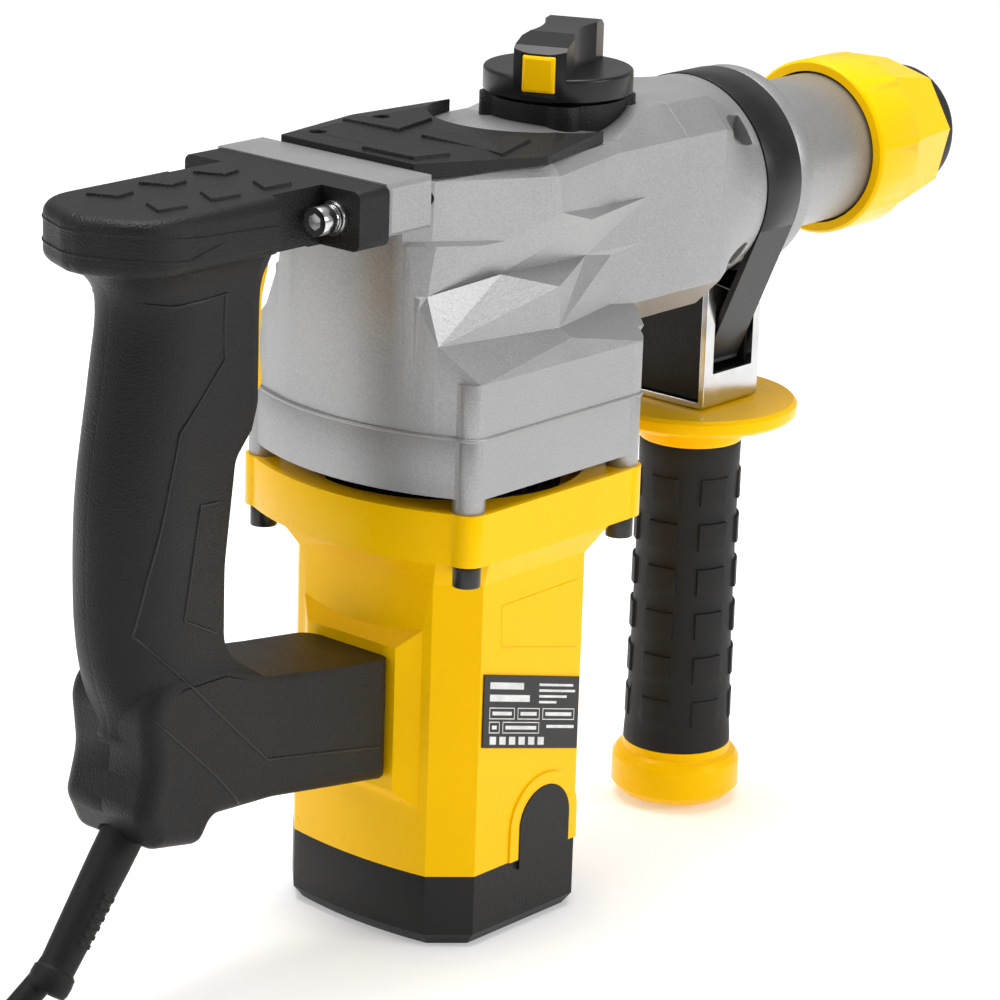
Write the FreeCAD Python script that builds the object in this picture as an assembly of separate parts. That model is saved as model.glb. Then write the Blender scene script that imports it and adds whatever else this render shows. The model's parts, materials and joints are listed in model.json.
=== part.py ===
import FreeCAD, Part
import math
import os

V = FreeCAD.Vector

# Rotary hammer, L layout: upright motor, level barrel, D handle behind, side
# handle below the barrel.  Millimetres.  X points to the tool, Y to the user's
# left, Z up.  The origin is on the motor axis at the foot of the end cap.

# ---- driving dimensions ---------------------------------------------------
BARREL_Z = 216.85            # height of the barrel axis
CAP_TOP = 23.4               # seam between end cap and motor housing
FLANGE_Z0 = 131.0            # underside of the motor housing flange
FLANGE_Z1 = 145.0            # top of the motor housing flange
DECK_Z0 = 149.5              # underside of the lower frame
FRAME_TOP = 167.5            # seam between lower frame and gearbox
GEARBOX_TOP = 244.5
BLOCK_TOP = 185.0            # shoulder of the wide lower part of the gearbox
MOTOR_HX = 34.7              # half length of the motor housing section
MOTOR_HY = 38.5              # half width of the motor housing section
MOTOR_CHAMFER = 10.8
MOTOR_BULGE = 2.6            # how far its front and rear faces bow out
FLANGE_HX = 36.0             # post and corner centres
FLANGE_HY = 42.0
CORNER_R = 5.0
REAR_R = 88.6                # plan radius of the bulged rear face
REAR_CX = 37.8               # its centre
FRONT_CX = -42.1             # centre of the bulged front face of the frame
FAN_BORE_R = 43.7
FAN_R = 36.5
GEARBOX_SEAM_X = 72.3        # gearbox to barrel housing
BARREL_R = 33.65
NECK_R = 31.5                # seat of the side handle strap
NECK_X0 = 115.5
NECK_X1 = 133.8
RIM_X = 141.0
NOSE_R = 25.0
SLEEVE_X0 = 184.0
SLEEVE_X1 = 231.0
SLEEVE_R = 29.5
CAP_X1 = 241.0
CAP_R = 21.6
SDS_R = 5.05                 # tool bore of the SDS-plus socket
SDS_DEPTH = 58.0
FRONT_HY = 34.0              # half width of the square front of the gearbox
FRONT_Z0 = 192.5
FRONT_Z1 = 241.5
FRONT_BEVEL = 9.35
HANDLE_HW = 18.0             # half width of the D handle
BRIDGE_HW = 24.0
ARM_HW = 16.5
BAR_X0 = -66.5               # aluminium bar between handle and gearbox
BAR_X1 = -47.5
BAR_HY = 35.0
BAR_Z0 = 232.0
BAR_Z1 = 247.5
AUX_X = 125.0                # axis of the side handle
GUARD_R = 34.9
GUARD_Z0 = 135.8
GUARD_Z1 = 141.7
GRIP_Z0 = 20.2
KNOB_X = 49.0                # axis of the mode knob
KNOB_SEAT = 243.5
KNOB_TURN = 24.5             # resting angle of the grip bar, degrees
CRANK_X = -17.6
CRANK_THROW = 9.0
ROD_LENGTH = 44.0
LAY_X = 18.8                 # axis of the intermediate shaft
GEAR_MODULE = 0.8
PINION_TEETH = 9
CRANK_TEETH = 35
LAY_TEETH = 38
BEVEL_MODULE = 1.5
BEVEL_PINION_TEETH = 7
BEVEL_RING_TEETH = 30
BEVEL_FACE = 6.5
CYL_BORE = 11.05
PISTON_R = 11.0
FIT = 0.05                   # running clearance on a radius
GAP = 0.3                    # clearance between neighbouring moving parts
CORD_D = 8.0
RELIEF_START = (-134.9, 0.0, 61.8)
RELIEF_DIR = (-0.6065, 0.0, -0.7951)
RELIEF_LENGTH = 54.6

os.makedirs("parts", exist_ok=True)


# ---- small tools ----------------------------------------------------------
def box(x0, x1, y0, y1, z0, z1):
    return Part.makeBox(x1 - x0, y1 - y0, z1 - z0, V(x0, y0, z0))


def cyl_z(x, y, z0, z1, r):
    return Part.makeCylinder(r, z1 - z0, V(x, y, z0), V(0, 0, 1))


def cyl_x(x0, x1, r, y=0.0, z=BARREL_Z):
    return Part.makeCylinder(r, x1 - x0, V(x0, y, z), V(1, 0, 0))


def cyl_y(x, z, y0, y1, r):
    return Part.makeCylinder(r, y1 - y0, V(x, y0, z), V(0, 1, 0))


def tube_x(x0, x1, r_out, r_in, z=BARREL_Z):
    return cyl_x(x0, x1, r_out, 0, z).cut(cyl_x(x0 - 1, x1 + 1, r_in, 0, z))


def tube_z(x, y, z0, z1, r_out, r_in):
    return cyl_z(x, y, z0, z1, r_out).cut(cyl_z(x, y, z0 - 1, z1 + 1, r_in))


def wire_face(points):
    return Part.Face(Part.makePolygon(points + [points[0]]))


def prism_z(pts, z0, z1):
    return wire_face([V(x, y, z0) for x, y in pts]).extrude(V(0, 0, z1 - z0))


def prism_y(pts, y0, y1):
    return wire_face([V(x, y0, z) for x, z in pts]).extrude(V(0, y1 - y0, 0))


def prism_x(pts, x0, x1):
    return wire_face([V(x0, y, z) for y, z in pts]).extrude(V(x1 - x0, 0, 0))


def fuse(shapes):
    first, rest = shapes[0], shapes[1:]
    return first.multiFuse(rest).removeSplitter() if rest else first


def cut(shape, tools):
    out = shape
    for tool in tools:
        out = out.cut(tool)
    return out


def group(shapes):
    return Part.makeCompound(shapes)


def mirror_y(shape):
    return shape.mirror(V(0, 0, 0), V(0, 1, 0))


def both_sides(make):
    return [make(-1), make(1)]


def revolve_x(profile):
    """Turn a (x, r) outline about the barrel axis."""
    face = wire_face([V(x, 0, BARREL_Z + r) for x, r in profile])
    return face.revolve(V(0, 0, BARREL_Z), V(1, 0, 0), 360)


def revolve_z(profile, x=0.0, y=0.0):
    """Turn a (r, z) outline about an upright axis."""
    face = wire_face([V(x + r, y, z) for r, z in profile])
    return face.revolve(V(x, y, 0), V(0, 0, 1), 360)


def socket_screw(r_head, h_head, r_shank, length):
    """Socket head screw, head top at z 0 pointing up, shank down."""
    head = Part.makeCylinder(r_head, h_head, V(0, 0, -h_head))
    shank = Part.makeCylinder(r_shank, length, V(0, 0, -h_head - length))
    hexagon = []
    for i in range(6):
        a = math.radians(60 * i)
        hexagon.append((0.58 * r_head * math.cos(a), 0.58 * r_head * math.sin(a)))
    socket = prism_z(hexagon, -0.6 * h_head, 1.0)
    return fuse([head, shank]).cut(socket)


def place(shape, origin, direction):
    """Move a shape made along +Z so that +Z points along direction."""
    out = shape.copy()
    rot = FreeCAD.Rotation(V(0, 0, 1), V(*direction))
    out.Placement = FreeCAD.Placement(V(*origin), rot)
    return out


def save(name, shape):
    shape.exportStep("parts/" + name + ".step")


# ---- plan outlines --------------------------------------------------------
def corners(grow=0.0):
    pts = []
    for sx in (-1, 1):
        for sy in (-1, 1):
            pts.append((sx * FLANGE_HX, sy * FLANGE_HY, CORNER_R + grow))
    return pts


def frame_block(z0, z1, grow=0.0):
    """Rounded block with bulged front and rear, shared by frame and flange."""
    hy = FLANGE_HY + CORNER_R + grow
    hx = FLANGE_HX + CORNER_R + grow
    slab = box(-60, 60, -hy, hy, z0, z1)
    slab = slab.common(cyl_z(REAR_CX, 0, z0, z1, REAR_R + grow))
    slab = slab.common(cyl_z(FRONT_CX, 0, z0, z1, REAR_R + grow))
    for sx in (-1, 1):
        for sy in (-1, 1):
            x0, x1 = sorted((sx * FLANGE_HX, sx * 60))
            y0, y1 = sorted((sy * FLANGE_HY, sy * 60))
            slab = slab.cut(box(x0, x1, y0, y1, z0, z1))
    posts = [cyl_z(x, y, z0, z1, r) for x, y, r in corners(grow)]
    ends = box(-hx, hx, -FLANGE_HY, FLANGE_HY, z0, z1)
    return fuse([slab, ends] + posts)


def octagon(hx, hy, c):
    return [(-hx, -hy + c), (-hx + c, -hy), (hx - c, -hy), (hx, -hy + c),
            (hx, hy - c), (hx - c, hy), (-hx + c, hy), (-hx, hy - c)]


def motor_block(z0, z1, inset=0.0):
    """Chamfered block whose front and rear faces bulge a little."""
    hx = MOTOR_HX - inset
    hy = MOTOR_HY - inset
    chamfer = MOTOR_CHAMFER - 0.6 * inset
    block = prism_z(octagon(hx + MOTOR_BULGE, hy, chamfer + MOTOR_BULGE), z0, z1)
    half_face = hy - chamfer
    radius = (half_face ** 2 + MOTOR_BULGE ** 2) / (2 * MOTOR_BULGE)
    for side in (-1, 1):
        centre = side * (hx + MOTOR_BULGE - radius)
        block = block.common(cyl_z(centre, 0, z0, z1, radius))
    return block


# ---- faceted gearbox casting ----------------------------------------------
# Corner points of the right-hand side, front to rear facets and shoulders.
P = {
    "b0": (-56, -47, 184), "b1": (41, -47, 184), "s0": (-56, -47, 185),
    "l4": (-37.5, -47, 185), "l3": (5.5, -45, 191.5), "l2": (37.5, -47, 185),
    "lc": (41, -47, 185), "l1": (49, -34, 192.5), "e0": (54, -34, 192.5),
    "e1": (54, -34, 241.5), "d3": (37, -34, 194.3), "d2": (36.4, -34, 210),
    "k": (23, -35, 212.3), "m1": (3.3, -42, 194.4), "m2": (2.7, -42, 207.2),
    "m3": (-18, -36.3, 213.4), "m4": (-16, -33.5, 212.2), "v4": (19, -40, 224.8),
    "r1": (-45.8, -29, 206.3), "r2": (-45.8, -30, 201.2), "r3": (-43.6, -35, 195.4),
    "w0": (-56, -33.1, 196), "w1": (-56, -26.4, 206.3), "w2": (-56, -27.5, 201.2),
    "p1": (-43.5, -30, 209.7), "p2": (-24.5, -32.5, 212.9), "p3": (-25, -34.5, 222.9),
    "p4": (-40.7, -30.5, 224.4), "u8": (-40.9, -29, 225.8), "u9": (-20.4, -34, 223.7),
    "v9": (-15.2, -35.3, 222.9), "v3": (5.2, -40, 229.1), "v1": (3.5, -40, 240.5),
    "v0": (-40.4, -29, 243.4), "v7": (38, -34, 241.5), "v5": (37.6, -34, 225.8),
    "v6": (53.1, -34, 225.7), "v11": (34, -37, 223.7), "v14": (53.2, -34, 211.4),
    "c1": (-56, -19.5, 209.7), "c2": (-56, -17, 224.4), "c3": (-56, -16.5, 225.8),
    "c4": (-56, -16.5, 243.4), "t0": (-56, -14, 244.5), "t1": (-40, -27, 244.5),
    "t2": (2.7, -37, 244.5), "t3": (36.8, -31.5, 244.5), "t4": (54, -31.5, 244.5),
}

SIDE_FACETS = [
    "b0 b1 lc l2 l4 s0", "l4 l2 l3", "s0 l4 r3 w0", "l4 l3 m1 r3", "l3 l2 l1 d3 m1",
    "l2 lc l1", "r3 m1 m2 m3 p1 r1 r2", "w0 r3 r2 w2", "w2 r2 r1 w1",
    "w1 r1 p1 c1", "m2 k m4", "p1 m3 m4 p2", "m3 m2 m4", "m1 d3 d2 k m2",
    "p1 p2 p3 p4", "c1 p1 p4 c2", "p4 p3 u9 u8", "c2 p4 u8 c3",
    "v1 v0 u8 u9 v9 v3", "c3 u8 v0 c4", "v9 v4 v3", "p3 v9 u9",
    "p2 m4 v9 p3", "m4 k v4 v9", "k v14 v6 v11", "k v11 v4", "v4 v11 v6 v5",
    "v3 v4 v5 v7 v1", "d2 v14 k", "c4 v0 t1 t0", "v0 v1 t2 t1",
    "v1 v7 t3 t2", "v7 e1 t4 t3",
]

FLAT_FACETS = [
    "l1 e0 e1 v7 v5 v6 v14 d2 d3",
]


def fan(points):
    first = points[0]
    faces = []
    for a, b in zip(points[1:-1], points[2:]):
        faces.append(wire_face([first, a, b]))
    return faces


def gearbox_half():
    """Right half of the upper casting as one faceted solid."""
    faces = []
    for text in SIDE_FACETS:
        faces += fan([V(*P[n]) for n in text.split()])
    for text in FLAT_FACETS:
        faces.append(wire_face([V(*P[n]) for n in text.split()]))
    top, low = GEARBOX_TOP, 184.0
    flat = [
        [P["t0"], P["t1"], P["t2"], P["t3"], P["t4"], (54, 0, top), (-56, 0, top)],
        [P["e0"], (54, 0, 192.5), (54, 0, top), P["t4"], P["e1"]],
        [P["l1"], (49, 0, 192.5), (54, 0, 192.5), P["e0"]],
        [P["lc"], (41, 0, 185), (49, 0, 192.5), P["l1"]],
        [P["b1"], (41, 0, low), (41, 0, 185), P["lc"]],
        [P["b0"], (-56, 0, low), (41, 0, low), P["b1"]],
        [(-56, 0, low), P["b0"], P["s0"], P["w0"], P["w2"], P["w1"], P["c1"],
         P["c2"], P["c3"], P["c4"], P["t0"], (-56, 0, top)],
        [(-56, 0, low), (-56, 0, top), (54, 0, top), (54, 0, 192.5),
         (49, 0, 192.5), (41, 0, 185), (41, 0, low)],
    ]
    for pts in flat:
        faces.append(wire_face([V(*p) for p in pts]))
    shell = Part.makeShell(faces)
    shell.sewShape()
    return Part.makeSolid(shell)


# ---- gearbox and frame ----------------------------------------------------
DOME_X = 36.0
DOME_R = 92.5                # sphere radius of the shallow dome
DOME_TOP = 248.0


def dome_ball(grow=0.0):
    return Part.makeSphere(DOME_R + grow, V(DOME_X, 0, DOME_TOP - DOME_R))


def mode_base_plan(z0, z1, grow=0.0):
    """Round plate with four screw ears on the diagonals."""
    parts = [cyl_z(KNOB_X, 0, z0, z1, 21.8 + grow)]
    for ear in range(4):
        a = math.radians(45 + 90 * ear)
        x = KNOB_X + 18.2 * math.cos(a)
        y = 18.2 * math.sin(a)
        parts.append(cyl_z(x, y, z0, z1, 6.2 + grow))
    return fuse(parts)


def front_block(x0, x1, inset=0.0):
    hy = FRONT_HY - inset
    z0 = FRONT_Z0 - FRONT_BEVEL + inset
    z1 = FRONT_Z1 + FRONT_BEVEL - inset
    c = FRONT_BEVEL - 0.6 * inset
    pts = [(-hy, z0 + c), (-hy + c, z0), (hy - c, z0), (hy, z0 + c),
           (hy, z1 - c), (hy - c, z1), (-hy + c, z1), (-hy, z1 - c)]
    return prism_x(pts, x0, x1)


def post_holes(z0, z1, r):
    return [cyl_z(x, y, z0, z1, r) for x, y, _ in corners()]


FRONT_SCREW_YZ = [(-26.5, 237.5), (26.5, 237.5), (-26.5, 196.2), (26.5, 196.2)]


def gearbox_housing():
    half = gearbox_half()
    upper = fuse([half, mirror_y(half)])
    upper = upper.common(cyl_z(REAR_CX, 0, 184, 245, REAR_R))
    for x, y, r in corners():
        x0, x1 = sorted((x, x + math.copysign(20, x)))
        y0, y1 = sorted((y, y + math.copysign(20, y)))
        nick = box(x0, x1, y0, y1, 184, 191).cut(cyl_z(x, y, 184, 191, r))
        upper = upper.cut(nick)
    nose = front_block(40, GEARBOX_SEAM_X)
    nose = nose.cut(box(39, 49, -40, 40, 180, FRONT_Z0))
    ramp = prism_y([(39, 243.5), (62, 252), (39, 252)], -40, 40)
    nose = nose.cut(ramp)
    dome = cyl_z(DOME_X, 0, 240, 250, 29.5).common(dome_ball())
    body = fuse([upper, frame_block(FRAME_TOP, BLOCK_TOP), nose, dome])
    seat = mode_base_plan(KNOB_SEAT, 260, 0.2).cut(dome_ball())
    chamber_low = prism_z(
        [(-44, -26), (-30, -33), (-26, -42), (26, -42), (30, -33), (36, -29),
         (36, 29), (30, 33), (26, 42), (-26, 42), (-30, 33), (-44, 26)],
        FRAME_TOP - 1, 182)
    chamber = prism_z(
        [(-43, -21), (-38, -25), (3, -36), (34, -30),
         (34, 30), (3, 36), (-38, 25), (-43, 21)], 181, 191.2)
    chamber_top = prism_z(
        [(-43, -19), (-38, -23), (3, -29.5), (34, -26.5),
         (34, 26.5), (3, 29.5), (-38, 23), (-43, 19)], 191, 238)
    bore = cyl_x(19, GEARBOX_SEAM_X + 1, 24.3)
    stem = cyl_z(KNOB_X, 0, 235, 260, 6.3)
    tools = [seat, chamber_low, chamber, chamber_top, bore, stem]
    tools += post_holes(FRAME_TOP - 1, 178, 2.5)
    tools += [cyl_x(56, GEARBOX_SEAM_X + 1, 2.5, y, z) for y, z in FRONT_SCREW_YZ]
    tools += [cyl_z(x, y, 239, 246, 2.0) for x, y in COVER_SCREW_XY]
    tools += [cyl_z(x, y, 239, 249, 2.0) for x, y in ear_centres()]
    tools += [cyl_x(-60, -38, 3.0, y, BAR_SCREW_Z) for y in BAR_SCREW_Y]
    return cut(body, tools)


COVER_SCREW_XY = [(-5.3, -24.6), (-5.3, 24.6), (-36, -22), (-36, 22)]
BAR_SCREW_Y = [-26.0, 26.0]
BAR_SCREW_Z = 238.5


def ear_centres():
    out = []
    for ear in range(4):
        a = math.radians(45 + 90 * ear)
        out.append((KNOB_X + 18.2 * math.cos(a), 18.2 * math.sin(a)))
    return out


def lower_frame():
    deck = frame_block(DECK_Z0, FRAME_TOP)
    posts = [cyl_z(x, y, FLANGE_Z1, DECK_Z0, CORNER_R) for x, y, _ in corners()]
    body = fuse([deck] + posts)
    tools = [
        cyl_z(0, 0, DECK_Z0 - 1, 157.0, 39.5),
        cyl_z(0, 0, 150, 170, 6.0),
        cyl_z(0, 0, 158.5, 165.5, 11.0),
        cyl_z(CRANK_X, 0, 161, 166.0, 5.5),
        cyl_z(LAY_X, 0, 161, 166.0, 5.5),
        cyl_z(CRANK_X, 0, 165, 170, 4.5),
        cyl_z(LAY_X, 0, 165, 170, 4.5),
    ]
    tools += post_holes(FLANGE_Z1 - 1, FRAME_TOP + 1, 2.5)
    return cut(body, tools)


def gear_carrier():
    plate = prism_z(
        [(-42.9, -20.9), (-37.9, -24.9), (3, -35.9), (33.9, -29.9),
         (33.9, 29.9), (3, 35.9), (-37.9, 24.9), (-42.9, 20.9)], 183.5, 191.0)
    tools = [
        cyl_z(CRANK_X, 0, 183, 190.0, 12.0), cyl_z(CRANK_X, 0, 189, 192, 8.0),
        cyl_z(LAY_X, 0, 183, 190.0, 8.0), cyl_z(LAY_X, 0, 189, 192, 6.2),
    ]
    return cut(plate, tools)


def top_cover():
    plan = [(-47.3, -26.5), (-2.0, -39.6), (38.2, -30.2), (38.2, 30.2),
            (-2.0, 39.6), (-47.3, 26.5)]
    body = prism_z(plan, GEARBOX_TOP, 249.5)
    body = body.cut(cyl_z(35.2, 0, 240, 255, 31.2))
    slope = [(-45, 246.3), (-26, 249.5), (-26, 252), (-45, 252)]
    body = body.cut(prism_x(slope, -60, 60))
    body = body.cut(mirror_y(prism_x(slope, -60, 60)))
    return cut(body, [cyl_z(x, y, 240, 252, 2.6) for x, y in COVER_SCREW_XY])


def small_screws():
    """Four cover screws, sunk in their holes, and four in the mode base."""
    out = []
    for x, y in COVER_SCREW_XY:
        out.append(place(socket_screw(2.5, 2.0, 2.0, 5.3), (x, y, 247.0), (0, 0, 1)))
    for x, y in ear_centres():
        out.append(place(socket_screw(3.2, 2.6, 2.0, 11.5), (x, y, 253.6), (0, 0, 1)))
    return group(out)


# ---- barrel ---------------------------------------------------------------
def barrel_housing():
    flange = front_block(GEARBOX_SEAM_X, 92.0)
    # the square flange draws in to the round collar
    circle = Part.makeCircle(BARREL_R, V(110, 0, BARREL_Z), V(1, 0, 0))
    octo = front_block(92.0, 93.0)
    start = max(octo.Faces, key=lambda f: -f.CenterOfMass.x).OuterWire
    taper = Part.makeLoft([start, Part.Wire([circle])], True, True)
    round_part = revolve_x([(108, 0), (108, BARREL_R), (NECK_X0, BARREL_R),
                            (NECK_X0, NECK_R), (NECK_X1, NECK_R),
                            (NECK_X1, BARREL_R), (RIM_X - 1, BARREL_R),
                            (RIM_X, BARREL_R - 1), (RIM_X, 27.0),
                            (RIM_X + 3, NOSE_R), (194.4, NOSE_R),
                            (195, NOSE_R - 0.6), (195, 0)])
    body = fuse([flange, taper, round_part])
    tools = [
        cyl_x(GEARBOX_SEAM_X - 1, 112, 27.0),
        cyl_x(111, 133, 24.0),
        cyl_x(132, 196, 20.5),
    ]
    for y, z in FRONT_SCREW_YZ:
        tools.append(cyl_x(GEARBOX_SEAM_X - 1, 87, 2.5, y, z))
        tools.append(cyl_x(86, 112, 5.4, y, z))
    return cut(body, tools)


def barrel_screws():
    out = []
    for y, z in FRONT_SCREW_YZ:
        screw = socket_screw(4.25, 5.0, 2.5, 28.0)
        out.append(place(screw, (91.0, y, z), (1, 0, 0)))
    return group(out)


# ---- motor housing --------------------------------------------------------
TONGUE_X = (-3.7, 19.9)
TONGUE_TOP = 45.0


def tongue_pair(y_in, y_out, grow=0.0):
    """Arched tongues of the end cap, one on each side of the motor."""
    x0, x1 = TONGUE_X[0] - grow, TONGUE_X[1] + grow
    r = 0.49 * (x1 - x0)
    top = TONGUE_TOP + grow
    arch = rounded_face([(V(x0, -y_out, 20.0), 0.3), (V(x0, -y_out, top), r),
                         (V(x1, -y_out, top), r), (V(x1, -y_out, 20.0), 0.3)])
    right = arch.extrude(V(0, y_out - y_in, 0))
    return [right, mirror_y(right)]


def motor_housing():
    body = motor_block(CAP_TOP, 128.0)
    low = wire_face([V(x, y, 118) for x, y in octagon(MOTOR_HX, MOTOR_HY, MOTOR_CHAMFER)])
    high = wire_face([V(x, y, 130) for x, y in octagon(41.0, 46.0, 11.5)])
    flare = Part.makeLoft([low.OuterWire, high.OuterWire], True, True)
    flange = frame_block(129.0, FLANGE_Z1, 1.0)
    pad = prism_z([(-40.5, -18.3), (-35.4, -24.5), (-33, -24.5), (-33, 24.5),
                   (-35.4, 24.5), (-40.5, 18.3)], 44, 104)
    pad = pad.common(prism_y([(-40.5, 50.5), (-35, 44.5), (-30, 44.5), (-30, 103.5),
                              (-35, 103.5), (-40.5, 97.0)], -30, 30))
    rims = [r.common(box(-30, 40, -50, 50, CAP_TOP, 60))
            for r in tongue_pair(36.0, 39.2, 4.2)]
    body = fuse([body, flare, flange, pad] + rims)
    tools = [
        motor_block(CAP_TOP - 1, 126.0, 3.2),
        cyl_z(0, 0, 125, 138.5, 33.0),
        cyl_z(0, 0, 137.0, 146, FAN_BORE_R),
    ]
    for x, y, _ in corners():
        tools.append(cyl_z(x, y, 117, 128, 6.0))
        tools.append(cyl_z(x, y, 127, 146, 2.5))
    tools += tongue_pair(35.0, 42.0, 0.15)
    for z in (66.0, 82.0):
        tools.append(cyl_x(-45, -30, 2.2, 0, z))
    return cut(body, tools)


def end_cap():
    body = motor_block(0, CAP_TOP)
    foot = motor_block(0, 4.0, 3.0)
    wide = motor_block(4.0, 4.01)
    skirt = Part.makeLoft([foot.Faces[foot_face(foot, 0.0)].OuterWire,
                           wide.Faces[foot_face(wide, 4.0)].OuterWire], True, True)
    body = fuse([body.common(box(-50, 50, -50, 50, 4.0, CAP_TOP)), skirt])
    body = body.cut(motor_block(3.0, CAP_TOP + 1, 3.2))
    boss = tube_z(0, 0, 2.0, 17.0, 14.0, 11.0)
    ribs = [box(-33, 33, -1.2, 1.2, 2.5, 12).cut(cyl_z(0, 0, 2, 14, 12)),
            box(-1.2, 1.2, -37, 37, 2.5, 12).cut(cyl_z(0, 0, 2, 14, 12))]
    tongues = tongue_pair(35.0, 39.6)
    body = fuse([body, boss] + ribs + tongues)
    slots = [box(28, 40, y - 1.6, y + 1.6, 7, 18) for y in (-16, -8, 8, 16)]
    return cut(body, slots)


def foot_face(solid, z):
    for i, f in enumerate(solid.Faces):
        if abs(f.CenterOfMass.z - z) < 1e-6 and abs(f.BoundBox.ZLength) < 1e-6:
            return i
    return 0


def flange_screws():
    out = []
    for x, y, _ in corners():
        screw = socket_screw(4.25, 6.0, 2.5, 48.0)
        out.append(place(screw, (x, y, 121.9), (0, 0, -1)))
    return group(out)


def name_plate():
    pts = [(-22.7, 65.6), (23.2, 53.4), (23.2, 77.3), (-22.7, 89.4)]
    return prism_y(pts, -MOTOR_HY - 0.6, -MOTOR_HY)


# ---- motor internals ------------------------------------------------------
def slotted_ring(z0, z1, r_out, r_in, slots, width, depth):
    body = tube_z(0, 0, z0, z1, r_out, r_in)
    tools = []
    for i in range(slots):
        tool = box(r_out - depth, r_out + 1, -width / 2, width / 2, z0 - 1, z1 + 1)
        tool.rotate(V(0, 0, 0), V(0, 0, 1), 360.0 * i / slots)
        tools.append(tool)
    return cut(body, tools)


def stator_core():
    body = cyl_z(0, 0, 58, 105, 31.0)
    body = body.common(box(-30.5, 30.5, -31, 31, 50, 110))
    pockets = []
    for s in (-1, 1):
        x0, x1 = sorted((s * 14.0, s * 24.0))
        pockets.append(box(x0, x1, -17, 17, 57, 106))
    return cut(body, [cyl_z(0, 0, 57, 106, 19.2)] + pockets)


def field_coils():
    """One racetrack winding per pole, wound through the core pockets."""
    out = []
    for s in (-1, 1):
        ends = tube_z(0, 0, 50.0, 57.8, 28.5, 20.5)
        tops = tube_z(0, 0, 105.2, 113.0, 28.5, 20.5)
        y0, y1 = sorted((s * 1.0, s * 40.0))
        keep = box(-40, 40, y0, y1, 40, 120)
        legs = []
        for sx in (-1, 1):
            x0, x1 = sorted((sx * 20.6, sx * 23.8))
            y2, y3 = sorted((s * 1.5, s * 16.0))
            legs.append(box(x0, x1, y2, y3, 55, 108))
        out.append(fuse([ends.common(keep), tops.common(keep)] + legs))
    return group(out)


def brush_pair(x_half, z0, z1, y0, y1, hole=None):
    out = []
    for s in (-1, 1):
        ya, yb = sorted((s * y0, s * y1))
        body = box(-x_half, x_half, ya, yb, z0, z1)
        if hole:
            body = body.cut(box(-hole, hole, ya - 1, yb + 1, 36.0, 44.0))
        out.append(body)
    return group(out)


def gear_teeth(z0, z1, x, y, teeth, module, turn, r_hole):
    """Spur gear with straight-sided teeth; turn is the angle of one tooth."""
    pitch = module * teeth / 2.0
    tip = pitch + 0.9 * module
    root = pitch - 1.2 * module
    step = 2 * math.pi / teeth
    start = math.radians(turn)
    pts = []
    for i in range(teeth):
        a = start + i * step
        for r, w in ((root, -0.31), (pitch, -0.225), (tip, -0.11),
                     (tip, 0.11), (pitch, 0.225), (root, 0.31)):
            b = a + w * step
            pts.append((x + r * math.cos(b), y + r * math.sin(b)))
    gear = prism_z(pts, z0, z1)
    return gear.cut(cyl_z(x, y, z0 - 1, z1 + 1, r_hole)) if r_hole else gear


def armature_shaft():
    shaft = fuse([cyl_z(0, 0, 9, 158.4, 3.9), cyl_z(0, 0, 157, 169.5, 4.0)])
    pinion = gear_teeth(168.5, 182.0, 0, 0, PINION_TEETH, GEAR_MODULE, 0.0, 0)
    return fuse([shaft, pinion])


def armature_core():
    return slotted_ring(58, 105, 18.5, 3.9, 12, 2.2, 6.0)


def armature_windings():
    low = revolve_z([(3.9, 51.5), (12, 51.5), (15.5, 54), (16, 58), (3.9, 58)])
    high = revolve_z([(3.9, 105), (16, 105), (15.5, 110), (12, 113), (3.9, 113)])
    wires = []
    for i in range(12):
        wire = box(13.0, 17.8, -1.0, 1.0, 57.9, 105.1)
        wire.rotate(V(0, 0, 0), V(0, 0, 1), 30.0 * i)
        wires.append(wire)
    return fuse([low, high] + wires)


def commutator():
    return slotted_ring(29, 49, 12.0, 3.9, 24, 0.5, 1.2)


def cooling_fan():
    plate = fuse([cyl_z(0, 0, 139, 141, FAN_R), cyl_z(0, 0, 139, 153, 8.5)])
    blades = []
    for i in range(30):
        blade = box(15, FAN_R - 0.3, -0.7, 0.7, 140.5, 149.2)
        blade.rotate(V(15, 0, 0), V(0, 0, 1), 18)
        blade.rotate(V(0, 0, 0), V(0, 0, 1), 12.0 * i)
        blades.append(blade)
    rim = tube_z(0, 0, 139, 149.2, FAN_R, FAN_R - 2.2)
    notches = []
    for i in range(30):
        notch = box(FAN_R - 4, FAN_R + 2, -2.6, 2.6, 142.5, 148.0)
        notch.rotate(V(0, 0, 0), V(0, 0, 1), 12.0 * i + 6)
        notches.append(notch)
    body = fuse([plate, cut(rim, notches)] + blades)
    body = body.common(cyl_z(0, 0, 130, 160, FAN_R))
    return body.cut(cyl_z(0, 0, 130, 160, 3.9))


def armature_bearings():
    low = tube_z(0, 0, 9.5, 16.5, 11.0, 3.9 + FIT)
    high = tube_z(0, 0, 158.5, 165.5, 11.0, 4.0 + FIT)
    return group([low, high])


# ---- gear train -----------------------------------------------------------
def gear_bearings():
    return group([
        tube_z(CRANK_X, 0, 161, 166, 5.5, 3.0 + FIT),
        tube_z(LAY_X, 0, 161, 166, 5.5, 3.0 + FIT),
        tube_z(CRANK_X, 0, 183.5, 190, 12.0, 6.0 + FIT),
        tube_z(LAY_X, 0, 183.5, 190, 8.0, 4.0 + FIT),
    ])


def crankshaft():
    """Shaft, counterweighted disc and eccentric pin; pin at +Y at rest."""
    shaft = fuse([cyl_z(CRANK_X, 0, 161.5, 170, 3.0),
                  cyl_z(CRANK_X, 0, 169.5, 193, 6.0)])
    disc = cyl_z(CRANK_X, 0, 191.8, 199.5, 13.0)
    pin = cyl_z(CRANK_X, CRANK_THROW, 199, 210.5, 3.5)
    return fuse([shaft, disc, pin])


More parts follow.
